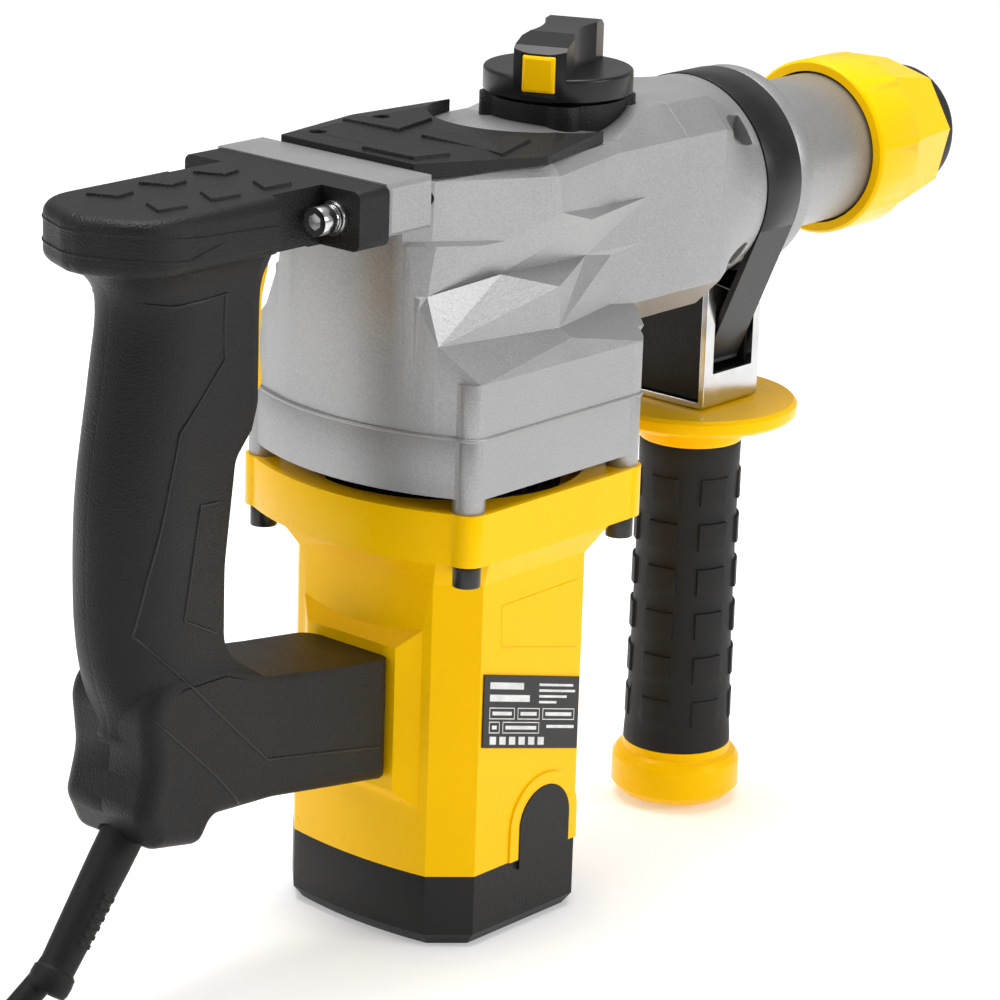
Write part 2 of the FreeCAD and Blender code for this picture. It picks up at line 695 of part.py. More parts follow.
def crank_gear():
    return gear_teeth(171.5, 179.5, CRANK_X, 0, CRANK_TEETH, GEAR_MODULE, 0.0, 6.0)


def bevel_tooth(module, radius, apex_dist, width_root, width_tip, face):
    """One straight bevel tooth on a gear about +Z, apex at the origin."""
    cone = math.hypot(radius, apex_dist)
    nr, nz = apex_dist / cone, -radius / cone
    loops = []
    for s in (1.0, 1.0 - face / cone):
        pts = []
        for h, w in ((-1.25, -width_root), (-1.25, width_root),
                     (0.9, width_tip), (0.9, -width_tip)):
            pts.append(V((radius + h * module * nr) * s, w * s,
                         (apex_dist + h * module * nz) * s))
        loops.append(Part.makePolygon(pts + [pts[0]]))
    return Part.makeLoft(loops, True, True)


def bevel_gear(teeth, mate, module, face, turn, back, r_hole):
    """Bevel gear about +Z with its apex at the origin, teeth facing down."""
    radius = module * teeth / 2.0
    apex = module * mate / 2.0
    cone = math.hypot(radius, apex)
    s = 1.0 - face / cone
    rr = radius - 1.15 * module * apex / cone
    zr = apex + 1.15 * module * radius / cone
    outline = [(0, zr * s), (rr * s, zr * s), (rr, zr), (rr, zr + back), (0, zr + back)]
    body = revolve_z(outline)
    pitch_w = 2 * math.pi * radius / teeth
    tooth = bevel_tooth(module, radius, apex, 0.265 * pitch_w, 0.10 * pitch_w, face)
    out = [body]
    for i in range(teeth):
        t = tooth.copy()
        t.rotate(V(0, 0, 0), V(0, 0, 1), turn + 360.0 * i / teeth)
        out.append(t)
    gear = fuse(out)
    return gear.cut(cyl_z(0, 0, -10, 60, r_hole)) if r_hole else gear


def layshaft():
    """Upright shaft with the small bevel pinion on top."""
    shaft = fuse([cyl_z(LAY_X, 0, 161.5, 170, 3.0), cyl_z(LAY_X, 0, 169.5, 190.5, 4.0)])
    gear = bevel_gear(BEVEL_PINION_TEETH, BEVEL_RING_TEETH, BEVEL_MODULE,
                      BEVEL_FACE, 180.0 / BEVEL_PINION_TEETH, 4.0, 0)
    gear = gear.mirror(V(0, 0, 0), V(0, 0, 1))
    gear.translate(V(LAY_X, 0, BARREL_Z))
    return fuse([shaft, gear])


def lay_gear():
    turn = 180.0 / LAY_TEETH
    return gear_teeth(171.5, 179.5, LAY_X, 0, LAY_TEETH, GEAR_MODULE, turn, 4.0)


def bevel_ring_gear():
    gear = bevel_gear(BEVEL_RING_TEETH, BEVEL_PINION_TEETH, BEVEL_MODULE,
                      BEVEL_FACE, 0.0, 4.0, 15.0)
    return place(gear, (LAY_X, 0, BARREL_Z), (1, 0, 0))


# ---- hammer mechanism -----------------------------------------------------
WRIST_X = CRANK_X + math.sqrt(ROD_LENGTH ** 2 - CRANK_THROW ** 2)


def connecting_rod():
    """Rod from the wrist pin to the eye that stands over the crank pin."""
    z0, z1 = 211.0, 222.7
    small = cyl_z(WRIST_X, 0, z0, z1, 5.6)
    big = cyl_z(CRANK_X, CRANK_THROW, z0, z1, 7.5)
    dx, dy = CRANK_X - WRIST_X, CRANK_THROW
    beam = Part.makeBox(ROD_LENGTH, 7.0, 8.0, V(0, -3.5, -4.0))
    beam.rotate(V(0, 0, 0), V(0, 0, 1), math.degrees(math.atan2(dy, dx)))
    beam.translate(V(WRIST_X, 0, BARREL_Z))
    body = fuse([small, big, beam])
    body = body.cut(cyl_z(CRANK_X, CRANK_THROW, 205, 230, 4.5))
    return body.cut(cyl_z(WRIST_X, 0, 205, 230, 2.5 + FIT))


def piston():
    body = cyl_x(WRIST_X - 7, WRIST_X + 18, PISTON_R)
    slot = box(WRIST_X - 8, WRIST_X + 6.5, -7.5, 7.5, 210.6, 223.1)
    pin = cyl_z(WRIST_X, 0, 200, 230, 2.5)
    groove = tube_x(WRIST_X + 12, WRIST_X + 14.2, 12.0, 9.6)
    return cut(body, [slot, pin, groove])


def wrist_pin():
    return cyl_z(WRIST_X, 0, BARREL_Z - 10.3, BARREL_Z + 10.3, 2.5)


def striker():
    body = revolve_x([(66, 0), (66, 10.2), (66.8, PISTON_R), (86, PISTON_R),
                      (88, 9.0), (90, 6.5), (98, 6.5), (99, 5.5), (99, 0)])
    return body.cut(tube_x(72, 74.2, 12.0, 9.6))


def impact_bolt():
    return revolve_x([(123, 0), (123, 6.4), (124, 7.0), (131, 7.0), (133, 10.2),
                      (144, 10.2), (147, 4.95), (175.4, 4.95), (176, 4.3), (176, 0)])


def hammer_cylinder():
    body = tube_x(24.5, 118.0, 15.0, CYL_BORE)
    vents = []
    for i in range(6):
        v = cyl_z(60, 0, BARREL_Z + 8, BARREL_Z + 18, 1.5)
        v.rotate(V(60, 0, BARREL_Z), V(1, 0, 0), 60.0 * i)
        vents.append(v)
    return cut(body, vents)


def tool_spindle():
    body = revolve_x([(104, 15.0), (104, 18.0), (160, 18.0), (163, 15.0),
                      (186.5, 15.0), (186.5, 20.0), (189.2, 20.0), (189.2, 15.0),
                      (228, 15.0), (229, 12.0), (236, 12.0), (236, SDS_R),
                      (236 - SDS_DEPTH, SDS_R), (236 - SDS_DEPTH, 5.25),
                      (165, 5.25), (165, 10.6), (118, 10.6), (118, 15.0)])
    pockets = [cyl_x(209, 218, 3.6, 0, BARREL_Z + s * 8.9) for s in (-1, 1)]
    keys = [cyl_x(186, 230, 2.0, s * 6.2) for s in (-1, 1)]
    return cut(body, pockets + keys)


def lock_balls():
    out = []
    for s in (-1, 1):
        out.append(Part.makeSphere(3.5, V(213.5, 0, BARREL_Z + s * 8.9)))
    return group(out)


def shift_collar():
    return revolve_x([(38, 15.05), (38, 20), (43.2, 20), (43.2, 16.9),
                      (54.8, 16.9), (54.8, 20), (59, 20), (59, 15.05)])


def spindle_bearings():
    rear = tube_x(62, 70, 24.3, 15.0 + FIT)
    front = tube_x(119, 131, 24.0, 18.0 + FIT)
    return group([rear, front])


def nose_cap():
    return revolve_x([(231.4, 12.0), (231.4, 20.6), (232.2, CAP_R), (236.5, CAP_R),
                      (239.5, 19.6), (CAP_X1, 16.5), (CAP_X1, 9.0), (239.5, 6.8),
                      (236.0, 6.8), (236.0, 12.0)])


def chuck_sleeve():
    """Sleeve that slides back on the spindle; the front cone carries flats."""
    body = revolve_x([(SLEEVE_X0, 25.8), (SLEEVE_X0, 28.6), (SLEEVE_X0 + 1, SLEEVE_R),
                      (209.0, SLEEVE_R), (SLEEVE_X1 - 0.8, 25.2), (SLEEVE_X1, 24.4),
                      (SLEEVE_X1, 20.0), (226, 18.0), (226, 15.3), (204, 15.3),
                      (204, 25.8)])
    flats = []
    for i in range(8):
        flat = box(205, 240, -20, 20, BARREL_Z + 26.9, BARREL_Z + 40)
        flat.rotate(V(209, 0, BARREL_Z + 29.0), V(0, 1, 0), 11)
        flat.rotate(V(205, 0, BARREL_Z), V(1, 0, 0), 45.0 * i + 14.0)
        flats.append(flat)
    return cut(body, flats)


def helix_wire(axis_x0, axis_x1, r, turns, wire_r):
    pitch = (axis_x1 - axis_x0) / turns
    helix = Part.makeHelix(pitch, axis_x1 - axis_x0, r)
    section = Part.Wire([Part.makeCircle(wire_r, V(r, 0, 0), V(0, 1, 0))])
    coil = Part.Wire(helix).makePipeShell([section], True, True)
    return place(coil, (axis_x0, 0, BARREL_Z), (1, 0, 0))


def chuck_spring():
    return helix_wire(190.1, 203.1, 17.6, 3, 0.8)


# ---- rounded outlines -----------------------------------------------------
def round_corner(before, corner, after, radius):
    """Start, middle and end of the arc that rounds one corner."""
    a = (before - corner).normalize()
    b = (after - corner).normalize()
    half = 0.5 * a.getAngle(b)
    reach = radius / math.tan(half)
    mid_dir = (a + b).normalize()
    centre = corner + mid_dir * (radius / math.sin(half))
    return corner + a * reach, centre - mid_dir * radius, corner + b * reach


def rounded_face(points):
    """Closed face through (vector, radius) corners, each one an arc."""
    n = len(points)
    arcs = []
    for i in range(n):
        before, (corner, radius), after = points[i - 1][0], points[i], points[(i + 1) % n][0]
        arcs.append(round_corner(before, corner, after, radius))
    edges = []
    for i in range(n):
        start, mid, end = arcs[i]
        edges.append(Part.Arc(start, mid, end).toShape())
        following = arcs[(i + 1) % n][0]
        if end.distanceToPoint(following) > 1e-4:
            edges.append(Part.LineSegment(end, following).toShape())
    return Part.Face(Part.Wire(edges))


# ---- rear handle ----------------------------------------------------------
# Lower arm from the grip to the motor: x, z, corner radius.
ARM_OUTLINE = [
    (-132, 112, 6), (-144.5, 106, 12), (-142.0, 84, 20), (-146.0, 70, 7),
    (-140.5, 58.5, 5), (-121, 55.0, 4), (-116, 62.5, 5), (-90, 61.0, 20),
    (-40.5, 53.5, 1.0), (-40.5, 99, 1.0), (-90, 104, 4), (-112, 112, 2),
]
# Space inside the D, closed in front of the object: x, z, corner radius.
GAP_OUTLINE = [
    (-30, 230.0, 1.0), (-84, 230.0, 12), (-97.6, 224.0, 10), (-97.6, 184.5, 5),
    (-109.4, 171.0, 8), (-113.4, 140, 60), (-113.4, 113, 12), (-96, 101.5, 16),
    (-70, 97.5, 30), (-30, 92.2, 1.0),
]
# Grip sections from the bridge down: z, rear x, half width, rear depth.
GRIP_SECTIONS = [
    (233.0, -155.5, 22.5, 30), (228.5, -150.5, 20.5, 26), (223.5, -145.2, 18.2, 23),
    (217.0, -143.4, 17.2, 22), (204.0, -144.8, 17.0, 22), (188.0, -147.4, 17.0, 22),
    (165.0, -151.2, 17.0, 23), (143.0, -152.2, 17.0, 23), (122.0, -151.4, 17.0, 23),
    (104.0, -147.0, 17.4, 20), (90.0, -143.6, 17.6, 18),
]
HANDLE_CAVITY = [
    (-73, 243.2, 1.5), (-148, 243.2, 3), (-149.5, 236, 3), (-140, 228, 4),
    (-138.5, 216, 6), (-141, 200, 20), (-146, 160, 20), (-146, 125, 20),
    (-138.2, 88, 8), (-140, 72, 4), (-136, 63.0, 3), (-110, 66.0, 8),
    (-44, 57.5, 1.5), (-44, 88.5, 1.5), (-74, 93.6, 12), (-104, 99.5, 4),
    (-118, 112, 4), (-117.2, 140, 12), (-113, 174, 4), (-101.6, 187, 4),
    (-101.6, 217, 4), (-95, 234.2, 4), (-73, 234.2, 1.5),
]
SHELL_SCREW_XZ = [(-80, 238), (-139.5, 233), (-136, 128), (-127, 90), (-56, 74)]
BRIDGE_Z0 = 230.0
BRIDGE_Z1 = 247.0
GRIP_FRONT = -94.0           # grip sections run on to here before the gap is cut
SHELL_WALL = 2.9


def outline_xz(table, y):
    return rounded_face([(V(x, y, z), r) for x, z, r in table])


def grip_section(z, rear, half, depth, inset):
    """Half ellipse at the rear, parallel sides, narrower front."""
    b, a = half - inset, depth - inset
    x = rear + depth
    ellipse = Part.Ellipse(V(x, 0, z), max(a, b), min(a, b))
    if a < b:
        ellipse.rotate(FreeCAD.Placement(V(0, 0, 0), V(0, 0, 1), 90, V(x, 0, z)))
    rear_arc = Part.ArcOfEllipse(ellipse, 0.5 * math.pi, 1.5 * math.pi)
    front = GRIP_FRONT - inset
    pts = [V(x, -b, z), V(front - 9, -b, z), V(front, -b + 5.0, z),
           V(front, b - 5.0, z), V(front - 9, b, z), V(x, b, z)]
    edges = [rear_arc.toShape()]
    edges += [Part.LineSegment(p, q).toShape() for p, q in zip(pts, pts[1:])]
    return Part.Wire(Part.__sortEdges__(edges))


def grip_loft(inset=0.0):
    wires = [grip_section(z, rear, half, depth, inset)
             for z, rear, half, depth in GRIP_SECTIONS]
    return Part.makeLoft(wires, True, False)


def bridge_plan(grow, z):
    """D shaped plan of the bridge over the grip."""
    hw = BRIDGE_HW + grow
    return rounded_face([
        (V(-66.5, -hw, z), 0.5), (V(-150.5 - grow, -hw, z), 18.0),
        (V(-158.5 - grow, -3, z), 8.0), (V(-158.5 - grow, 3, z), 8.0),
        (V(-150.5 - grow, hw, z), 18.0), (V(-66.5, hw, z), 0.5)])


def handle_solid():
    """Whole handle, both halves: bridge, oval grip, arm and front plate."""
    bridge = bridge_plan(0.0, BRIDGE_Z0).extrude(V(0, 0, BRIDGE_Z1 - BRIDGE_Z0))
    brims = [e for e in bridge.Edges if e.BoundBox.ZLength < 1e-6
             and e.CenterOfMass.x < -70]
    bridge = soften(bridge, brims, 3.5)
    arm = outline_xz(ARM_OUTLINE, -HANDLE_HW).extrude(V(0, 2 * HANDLE_HW, 0))
    rim = [e for e in arm.Edges
           if abs(abs(e.CenterOfMass.y) - HANDLE_HW) < 1e-6
           and e.BoundBox.YLength < 1e-6 and e.CenterOfMass.x > -146
           and e.CenterOfMass.x < -42]
    arm = soften(arm, rim, 6.0)
    plate = box(-84, -66.5, -BAR_HY, BAR_HY, BRIDGE_Z0 - 0.5, BRIDGE_Z1)
    plate = soften(plate, plate_edges(plate), 2.5)
    body = fuse([bridge, grip_loft(), arm, plate])
    gap = outline_xz(GAP_OUTLINE, -60).extrude(V(0, 120, 0))
    keep_plate = box(-84, -60, -BAR_HY - 1, BAR_HY + 1, BRIDGE_Z0 - 0.5, BRIDGE_Z0 + 1)
    return body.cut(gap.cut(keep_plate)).removeSplitter()


def plate_edges(plate):
    return [e for e in plate.Edges
            if abs(abs(e.CenterOfMass.y) - BAR_HY) < 1e-6 and e.CenterOfMass.x < -67]


def soften(body, edges, radius):
    """Fillet the edges; chamfer them where the fillet can't close."""
    for make, size in (("makeFillet", radius), ("makeFillet", 0.6 * radius),
                       ("makeChamfer", 0.5 * radius)):
        try:
            out = getattr(body, make)(size, edges)
        except Part.OCCError:
            continue
        if out.isValid() and out.Volume > 0:
            return out
    return body


def handle_tools():
    """Everything that is taken out of both handle halves."""
    cavity = outline_xz(HANDLE_CAVITY, -14.5).extrude(V(0, 29.0, 0))
    room = fuse([grip_loft(SHELL_WALL), box(-160, -40, -20, 20, 50, 100),
                 box(-150, -60, -20, 20, 231.0, 250)])
    cavity = cavity.common(room)
    trigger_slot = box(-105, -80, -8.9, 8.9, 182.6, 225.4)
    throat = place(Part.makeCylinder(5.2, 12, V(0, 0, -10)), RELIEF_START, RELIEF_DIR)
    mouth = place(Part.makeCylinder(7.3, 20), RELIEF_START, RELIEF_DIR)
    pocket = place(Part.makeCylinder(7.9, 6, V(0, 0, -15)), RELIEF_START, RELIEF_DIR)
    tools = [cavity, trigger_slot, throat, mouth, pocket]
    for y in BAR_SCREW_Y:
        tools.append(cyl_x(-90, -60, 2.6, y, BAR_SCREW_Z))
        pocket = box(-100, -79.0, y - 9.0, y + 9.0, 229.0, 247.0)
        outer = math.copysign(40, y)
        y0, y1 = sorted((y - math.copysign(6, y), outer))
        tools.append(pocket.common(box(-100, -79.0, y0, y1, 225, 250)))
    return tools


def handle_half(side):
    """side -1 is the right half, +1 the left."""
    y0, y1 = sorted((0.0, side * 60.0))
    body = handle_solid().common(box(-200, -40, y0, y1, 0, 300))
    body = cut(body, handle_tools())
    ya, yb = sorted((0.0, side * 15.5))
    bosses = [cyl_y(x, z, ya, yb, 4.2) for x, z in SHELL_SCREW_XZ]
    keep = handle_solid()
    body = fuse([body] + [b.common(keep) for b in bosses])
    holes = [cyl_y(x, z, -22.0, 22.0, 1.8) for x, z in SHELL_SCREW_XZ]
    if side < 0:
        holes = [cyl_y(x, z, -13.0, 1.0, 1.8) for x, z in SHELL_SCREW_XZ]
    else:
        holes += [cyl_y(x, z, 14.0, 30.0, 3.6) for x, z in SHELL_SCREW_XZ]
    return cut(body, holes)


def shell_screws():
    out = []
    for x, z in SHELL_SCREW_XZ:
        screw = socket_screw(3.4, 2.4, 1.8, 24.0)
        out.append(place(screw, (x, 16.4, z), (0, 1, 0)))
    return group(out)


def handle_bar():
    body = box(BAR_X0, BAR_X1, -BAR_HY, BAR_HY, BAR_Z0, BAR_Z1)
    ends = [e for e in body.Edges if abs(abs(e.CenterOfMass.y) - BAR_HY) < 1e-6]
    body = body.makeChamfer(1.2, ends)
    body = body.cut(cyl_z(REAR_CX, 0, 100, 244.5, REAR_R).common(box(-60, 0, -60, 60, 200, 244.5)))
    body = body.cut(prism_z([(-47.3, -26.6), (-2, -39.7), (0, 0), (-2, 39.7), (-47.3, 26.6)],
                            244.0, 260))
    body = body.cut(gearbox_side_clear())
    return cut(body, [cyl_x(-70, -45, 2.6, y, BAR_SCREW_Z) for y in BAR_SCREW_Y])


def gearbox_side_clear():
    """Room for the gearbox flank where the bar reaches past it."""
    return prism_z([(-47.6, -27.3), (-40.3, -29.1), (-40.3, 29.1), (-47.6, 27.3)], 225, 244.5)


def bar_screws():
    """Socket screws with spring washer and flat washer under the head."""
    out = []
    for y in BAR_SCREW_Y:
        screw = socket_screw(4.25, 5.0, 2.5, 38.0)
        out.append(place(screw, (-88.0, y, BAR_SCREW_Z), (-1, 0, 0)))
        ring = cyl_x(-82.8, -81.4, 4.2, y, BAR_SCREW_Z)
        flat = cyl_x(-81.0, -79.0, 5.0, y, BAR_SCREW_Z)
        shank = cyl_x(-84, -70, 2.5, y, BAR_SCREW_Z)
        out += [ring.cut(shank), flat.cut(shank)]
    return group(out)


def switch_module():
    body = box(-134.2, -113.5, -10, 10, 188, 219)
    lugs = [box(-126, -120, -13.3, 13.3, z - 3, z + 3) for z in (194, 213)]
    plunger = box(-114, -113.2, -4, 4, 198, 210)
    return fuse([body, plunger] + lugs)


def trigger():
    outline = [(-106, 224.5, 1.0), (-86.5, 224.5, 2.0), (-89.6, 214, 14),
               (-90.3, 200, 30), (-89.2, 187.5, 3), (-93, 183.2, 2.5), (-106, 183.2, 1.0)]
    body = outline_xz(outline, -8.5).extrude(V(0, 17.0, 0))
    front = [e for e in body.Edges
             if abs(abs(e.CenterOfMass.y) - 8.5) < 1e-6 and e.BoundBox.YLength < 1e-6
             and e.CenterOfMass.x > -92.5]
    return soften(body, front, 2.0)


# ---- mode selector --------------------------------------------------------
def mode_base():
    body = mode_base_plan(KNOB_SEAT, 253.6).cut(dome_ball())
    body = fuse([body, cyl_z(KNOB_X, 0, 253.0, 254.6, 19.0)])
    tools = [cyl_z(KNOB_X, 0, 240, 260, 6.3)]
    for x, y in ear_centres():
        tools.append(cyl_z(x, y, 240, 256, 2.0))
        tools.append(cyl_z(x, y, 251.0, 256, 3.2))
    return cut(body, tools)


def mode_knob():
    """Disc with a grip bar, a stem and an eccentric pin for the collar."""
    disc = cyl_z(KNOB_X, 0, 255.0, 262.0, 23.4)
    disc = soften(disc, [e for e in disc.Edges if abs(e.CenterOfMass.z - 262) < 1e-6], 1.0)
    grip = prism_y([(-23.2, 256), (-23.2, 269.6), (-20.5, 271.6), (-9, 274), (19, 274),
                    (22.0, 272), (23.0, 262), (23.0, 256)], -8.4, 8.4)
    waist = [cyl_z(0, s * 41.5, 262.0, 280, 35.6) for s in (-1, 1)]
    grip = cut(grip, waist)
    grip = grip.common(cyl_z(0, 0, 250, 280, 23.4))
    slot = box(-30, -13.0, -5.4, 5.4, 257.4, 269.2)
    grip.rotate(V(0, 0, 0), V(0, 0, 1), KNOB_TURN)
    slot.rotate(V(0, 0, 0), V(0, 0, 1), KNOB_TURN)
    grip.translate(V(KNOB_X, 0, 0))
    slot.translate(V(KNOB_X, 0, 0))
    stem = cyl_z(KNOB_X, 0, 237, 256, 6.0)
    pin = cyl_z(KNOB_X, 3.0, 234.4, 238, 2.0)
    return fuse([disc, grip, stem, pin]).cut(slot)


def mode_button():
    body = box(-24.0, -16.0, -5.2, 5.2, 257.6, 269.0)
    face = [e for e in body.Edges if abs(e.CenterOfMass.x + 24.0) < 1e-6]
    body = soften(body, face, 1.2)
    body.rotate(V(0, 0, 0), V(0, 0, 1), KNOB_TURN)
    body.translate(V(KNOB_X, 0, 0))
    return body


# ---- side handle ----------------------------------------------------------
STRAP_X0 = 115.8
STRAP_X1 = 133.4
STRAP_RI = 31.8              # clear of the barrel neck
STRAP_RO = 33.96
STRAP_END = (10.5, 157.0)    # where each leg meets the bolt head
BRACKET_X0 = 110.0
BRACKET_X1 = 139.0
BRACKET_HY = 16.0


def strap_tangent(r):
    """Angle from straight down at which a leg leaves a circle of radius r."""
    y, z = STRAP_END
    dist = math.hypot(y, BARREL_Z - z)
    return math.atan2(y, BARREL_Z - z) + math.acos(r / dist)


def strap():
    """Steel band round the barrel neck whose legs run down to the bolt head."""
    band = tube_x(STRAP_X0, STRAP_X1, STRAP_RO, STRAP_RI)
    mid = 0.5 * (STRAP_RI + STRAP_RO)
    half = 0.5 * (STRAP_RO - STRAP_RI)
    a = strap_tangent(mid)
    top = (mid * math.sin(a), BARREL_Z - mid * math.cos(a))
    wedge = prism_x([(0, BARREL_Z), (80 * math.sin(a), BARREL_Z - 80 * math.cos(a)),
                     (0, BARREL_Z - 90),
                     (-80 * math.sin(a), BARREL_Z - 80 * math.cos(a))],
                    STRAP_X0 - 1, STRAP_X1 + 1)
    parts = [band.cut(wedge)]
    nx, nz = half * math.sin(a), -half * math.cos(a)
    for s in (-1, 1):
        y, z = STRAP_END
        leg = [(s * (top[0] + nx), top[1] + nz), (s * (y + nx), z + nz),
               (s * (y - nx), z - nz), (s * (top[0] - nx), top[1] - nz)]
        parts.append(prism_x(leg, STRAP_X0, STRAP_X1))
    y = STRAP_END[0]
    parts.append(box(STRAP_X0, STRAP_X1, -y - 0.9, y + 0.9, 155.2, 158.2))
    return fuse(parts).cut(cyl_z(AUX_X, 0, 150, 160, 4.3))


def clamp_bolt():
    """T headed bolt under the strap, threaded down into the grip."""
    head = box(117, 132.2, -8.5, 8.5, 158.2, 162.4)
    thread = cyl_z(AUX_X, 0, 86, 159, 4.0)
    return fuse([head, thread])


def clamp_bracket():
    """Bent steel U with a window in each leg for the strap."""
    z0 = GUARD_Z1 + GAP
    outer = box(BRACKET_X0, BRACKET_X1, -BRACKET_HY, BRACKET_HY, z0, 188)
    inner = box(BRACKET_X0 - 1, BRACKET_X1 + 1, -BRACKET_HY + 2.2, BRACKET_HY - 2.2,
                z0 + 2.2, 190)
    slant = prism_y([(BRACKET_X0 - 1, 186.5), (BRACKET_X1 + 1, 173.0),
                     (BRACKET_X1 + 1, 195), (BRACKET_X0 - 1, 195)], -20, 20)
    window = prism_y([(114.8, 153.5), (135.3, 153.5), (135.3, 172.6), (130, 175.6),
                      (114.8, 175.6)], -20, 20)
    body = cut(outer, [inner, slant, window, cyl_z(AUX_X, 0, 130, 150, 4.3)])
    corners_r = [e for e in body.Edges if e.BoundBox.XLength > 20
                 and abs(e.CenterOfMass.z - z0) < 1e-6]
    return soften(body, corners_r, 1.5)


def clamp_saddle():
    """Plastic saddle between the bracket legs, hollowed to fit the barrel."""
    z0 = GUARD_Z1 + GAP + 2.3
    body = box(111.5, 137.5, -13.6, 13.6, z0, 186)
    tools = [
        cyl_x(100, 145, BARREL_R + GAP),
        box(114.5, 134.9, -20, 20, 152.5, 200),
        cyl_z(AUX_X, 0, 130, 160, 4.3),
    ]
    return cut(body, tools)


def grip_core():
    """Guard disc, hub, core tube and end knob moulded as one piece."""
    body = revolve_z([
        (4.1, GUARD_Z1), (GUARD_R - 1.2, GUARD_Z1), (GUARD_R, GUARD_Z1 - 1.2),
        (GUARD_R, GUARD_Z0 + 1.5), (GUARD_R - 1.5, GUARD_Z0), (19.0, GUARD_Z0 - 1.0),
        (17.6, GUARD_Z0 - 3.0), (17.2, 127.5), (13.0, 127.5), (13.0, GRIP_Z0),
        (18.2, GRIP_Z0), (18.2, 17.5), (20.2, 16.6), (21.6, 14.5), (21.6, 5.0),
        (19.0, 2.2), (12.0, 2.0), (0, 2.0), (0, 80), (4.1, 80)], AUX_X)
    return body


def grip_rubber():
    """Soft sleeve over the core with columns of raised pads."""
    body = revolve_z([
        (13.0, 127.4), (16.6, 127.4), (17.0, 126.5), (16.6, 100), (16.9, 60),
        (17.6, 30), (18.1, 22.0), (18.1, GRIP_Z0 + 0.1), (13.0, GRIP_Z0 + 0.1)], AUX_X)
    pads = []
    for column in range(6):
        for row in range(6):
            z = 34.0 + 15.6 * row
            pad = box(15.0, 18.4 - 0.12 * row, -5.2, 5.2, z - 4.6, z + 4.6)
            pad.rotate(V(0, 0, 0), V(0, 0, 1), 60.0 * column + 10.0)
            pad.translate(V(AUX_X, 0, 0))
            pads.append(pad)
    limit = revolve_z([(0, 20.3), (18.1, 20.3), (17.8, 60), (17.4, 127.4), (0, 127.4)], AUX_X)
    pads = [p.common(limit).cut(cyl_z(AUX_X, 0, 20, 130, 13.0)) for p in pads]
    return fuse([body] + pads)


# ---- power cord -----------------------------------------------------------
CORD_STEP = 8.1              # distance between neighbouring turns
CORD_Z = 4.1                 # height of a cord axis lying on the floor
COIL_CENTRE = (-252.6, -13.5)
COIL_R_OUT = 56.0            # outermost and innermost turn, cord axis
COIL_R_IN = 31.7
LEAD_START = 22.9            # how far down the strain relief the cord begins
LEAD_ROUTE = [(-148.79, 0.0, 43.59), (-179.0, 0.0, CORD_Z), (-218.2, 30.6, CORD_Z)]
TAIL_ROUTE = [(-262.3, -68.6, 12.2), (-239.8, -73.2, 12.7), (-217.4, -79.0, 13.1)]


def tube_path(points):
    """Straight runs joined by tangent arcs; also returns length and radii."""
    pts = [V(*p) for p in points]
    edges, radii, length = [], [], 0.0
    start = pts[0]
    for before, corner, after in zip(pts, pts[1:], pts[2:]):
        reach = 0.45 * min(corner.distanceToPoint(before), corner.distanceToPoint(after))
        a = (before - corner).normalize()
        b = (after - corner).normalize()
        half_turn = 0.5 * (math.pi - a.getAngle(b))
        radius = reach / math.tan(half_turn)
        p1, mid, p2 = round_corner(before, corner, after, radius)
        edges.append(Part.LineSegment(start, p1).toShape())
        edges.append(Part.Arc(p1, mid, p2).toShape())
        length += start.distanceToPoint(p1) + radius * 2 * half_turn
        radii.append(radius)
        start = p2
    edges.append(Part.LineSegment(start, pts[-1]).toShape())
    length += start.distanceToPoint(pts[-1])
    return Part.Wire(edges), length, radii


def tube_along(points, r):
    path, length, radii = tube_path(points)
    way = V(*points[1]) - V(*points[0])
    ring = Part.Wire([Part.makeCircle(r, V(*points[0]), way)])
    tube = path.makePipeShell([ring], True, False)
    share = tube.Volume / (math.pi * r * r * length)
    print("cord run", round(length, 1), "mm, radii", [round(x, 1) for x in radii],
          "volume share", round(share, 3))
    return tube


def coil_solid():
    x, y = COIL_CENTRE
    half = 0.5 * CORD_STEP
    return tube_z(x, y, 0.05, 2 * CORD_STEP + 0.1, COIL_R_OUT + half + 0.6, COIL_R_IN - half)


def power_cord():
    lead = tube_along(LEAD_ROUTE, CORD_D / 2)
    tail = tube_along(TAIL_ROUTE, CORD_D / 2)
    return group([lead.cut(coil_solid()), tail.cut(coil_solid())])


def strain_relief():
    """Tapered sleeve from the handle, with a few teeth and an end collar."""
    length = RELIEF_LENGTH
    body = revolve_z([
        (0, -14), (7.6, -14), (7.6, -9.0), (4.9, -9.0), (4.9, 0.3), (6.6, 1.0),
        (6.5, 12.0), (5.5, length - 7.5), (6.4, length - 6.5), (6.6, length - 4.0),
        (6.4, length - 1.5), (5.8, length), (0, length)])
    teeth = []
    for i in range(6):
        z = 22.0 + 3.0 * i
        r = 6.5 - (z - 12.0) / (length - 19.5)
        teeth.append(box(-2.2, 2.2, -r - 0.5, -4.9, z, z + 1.4))
    body = fuse([body] + teeth)
    bore = Part.makeCylinder(CORD_D / 2 + FIT, 40, V(0, 0, LEAD_START))
    flare = Part.makeCylinder(CORD_D / 2 + 0.5, 6, V(0, 0, length - 5.0))
    return place(cut(body, [bore, flare]), RELIEF_START, RELIEF_DIR)


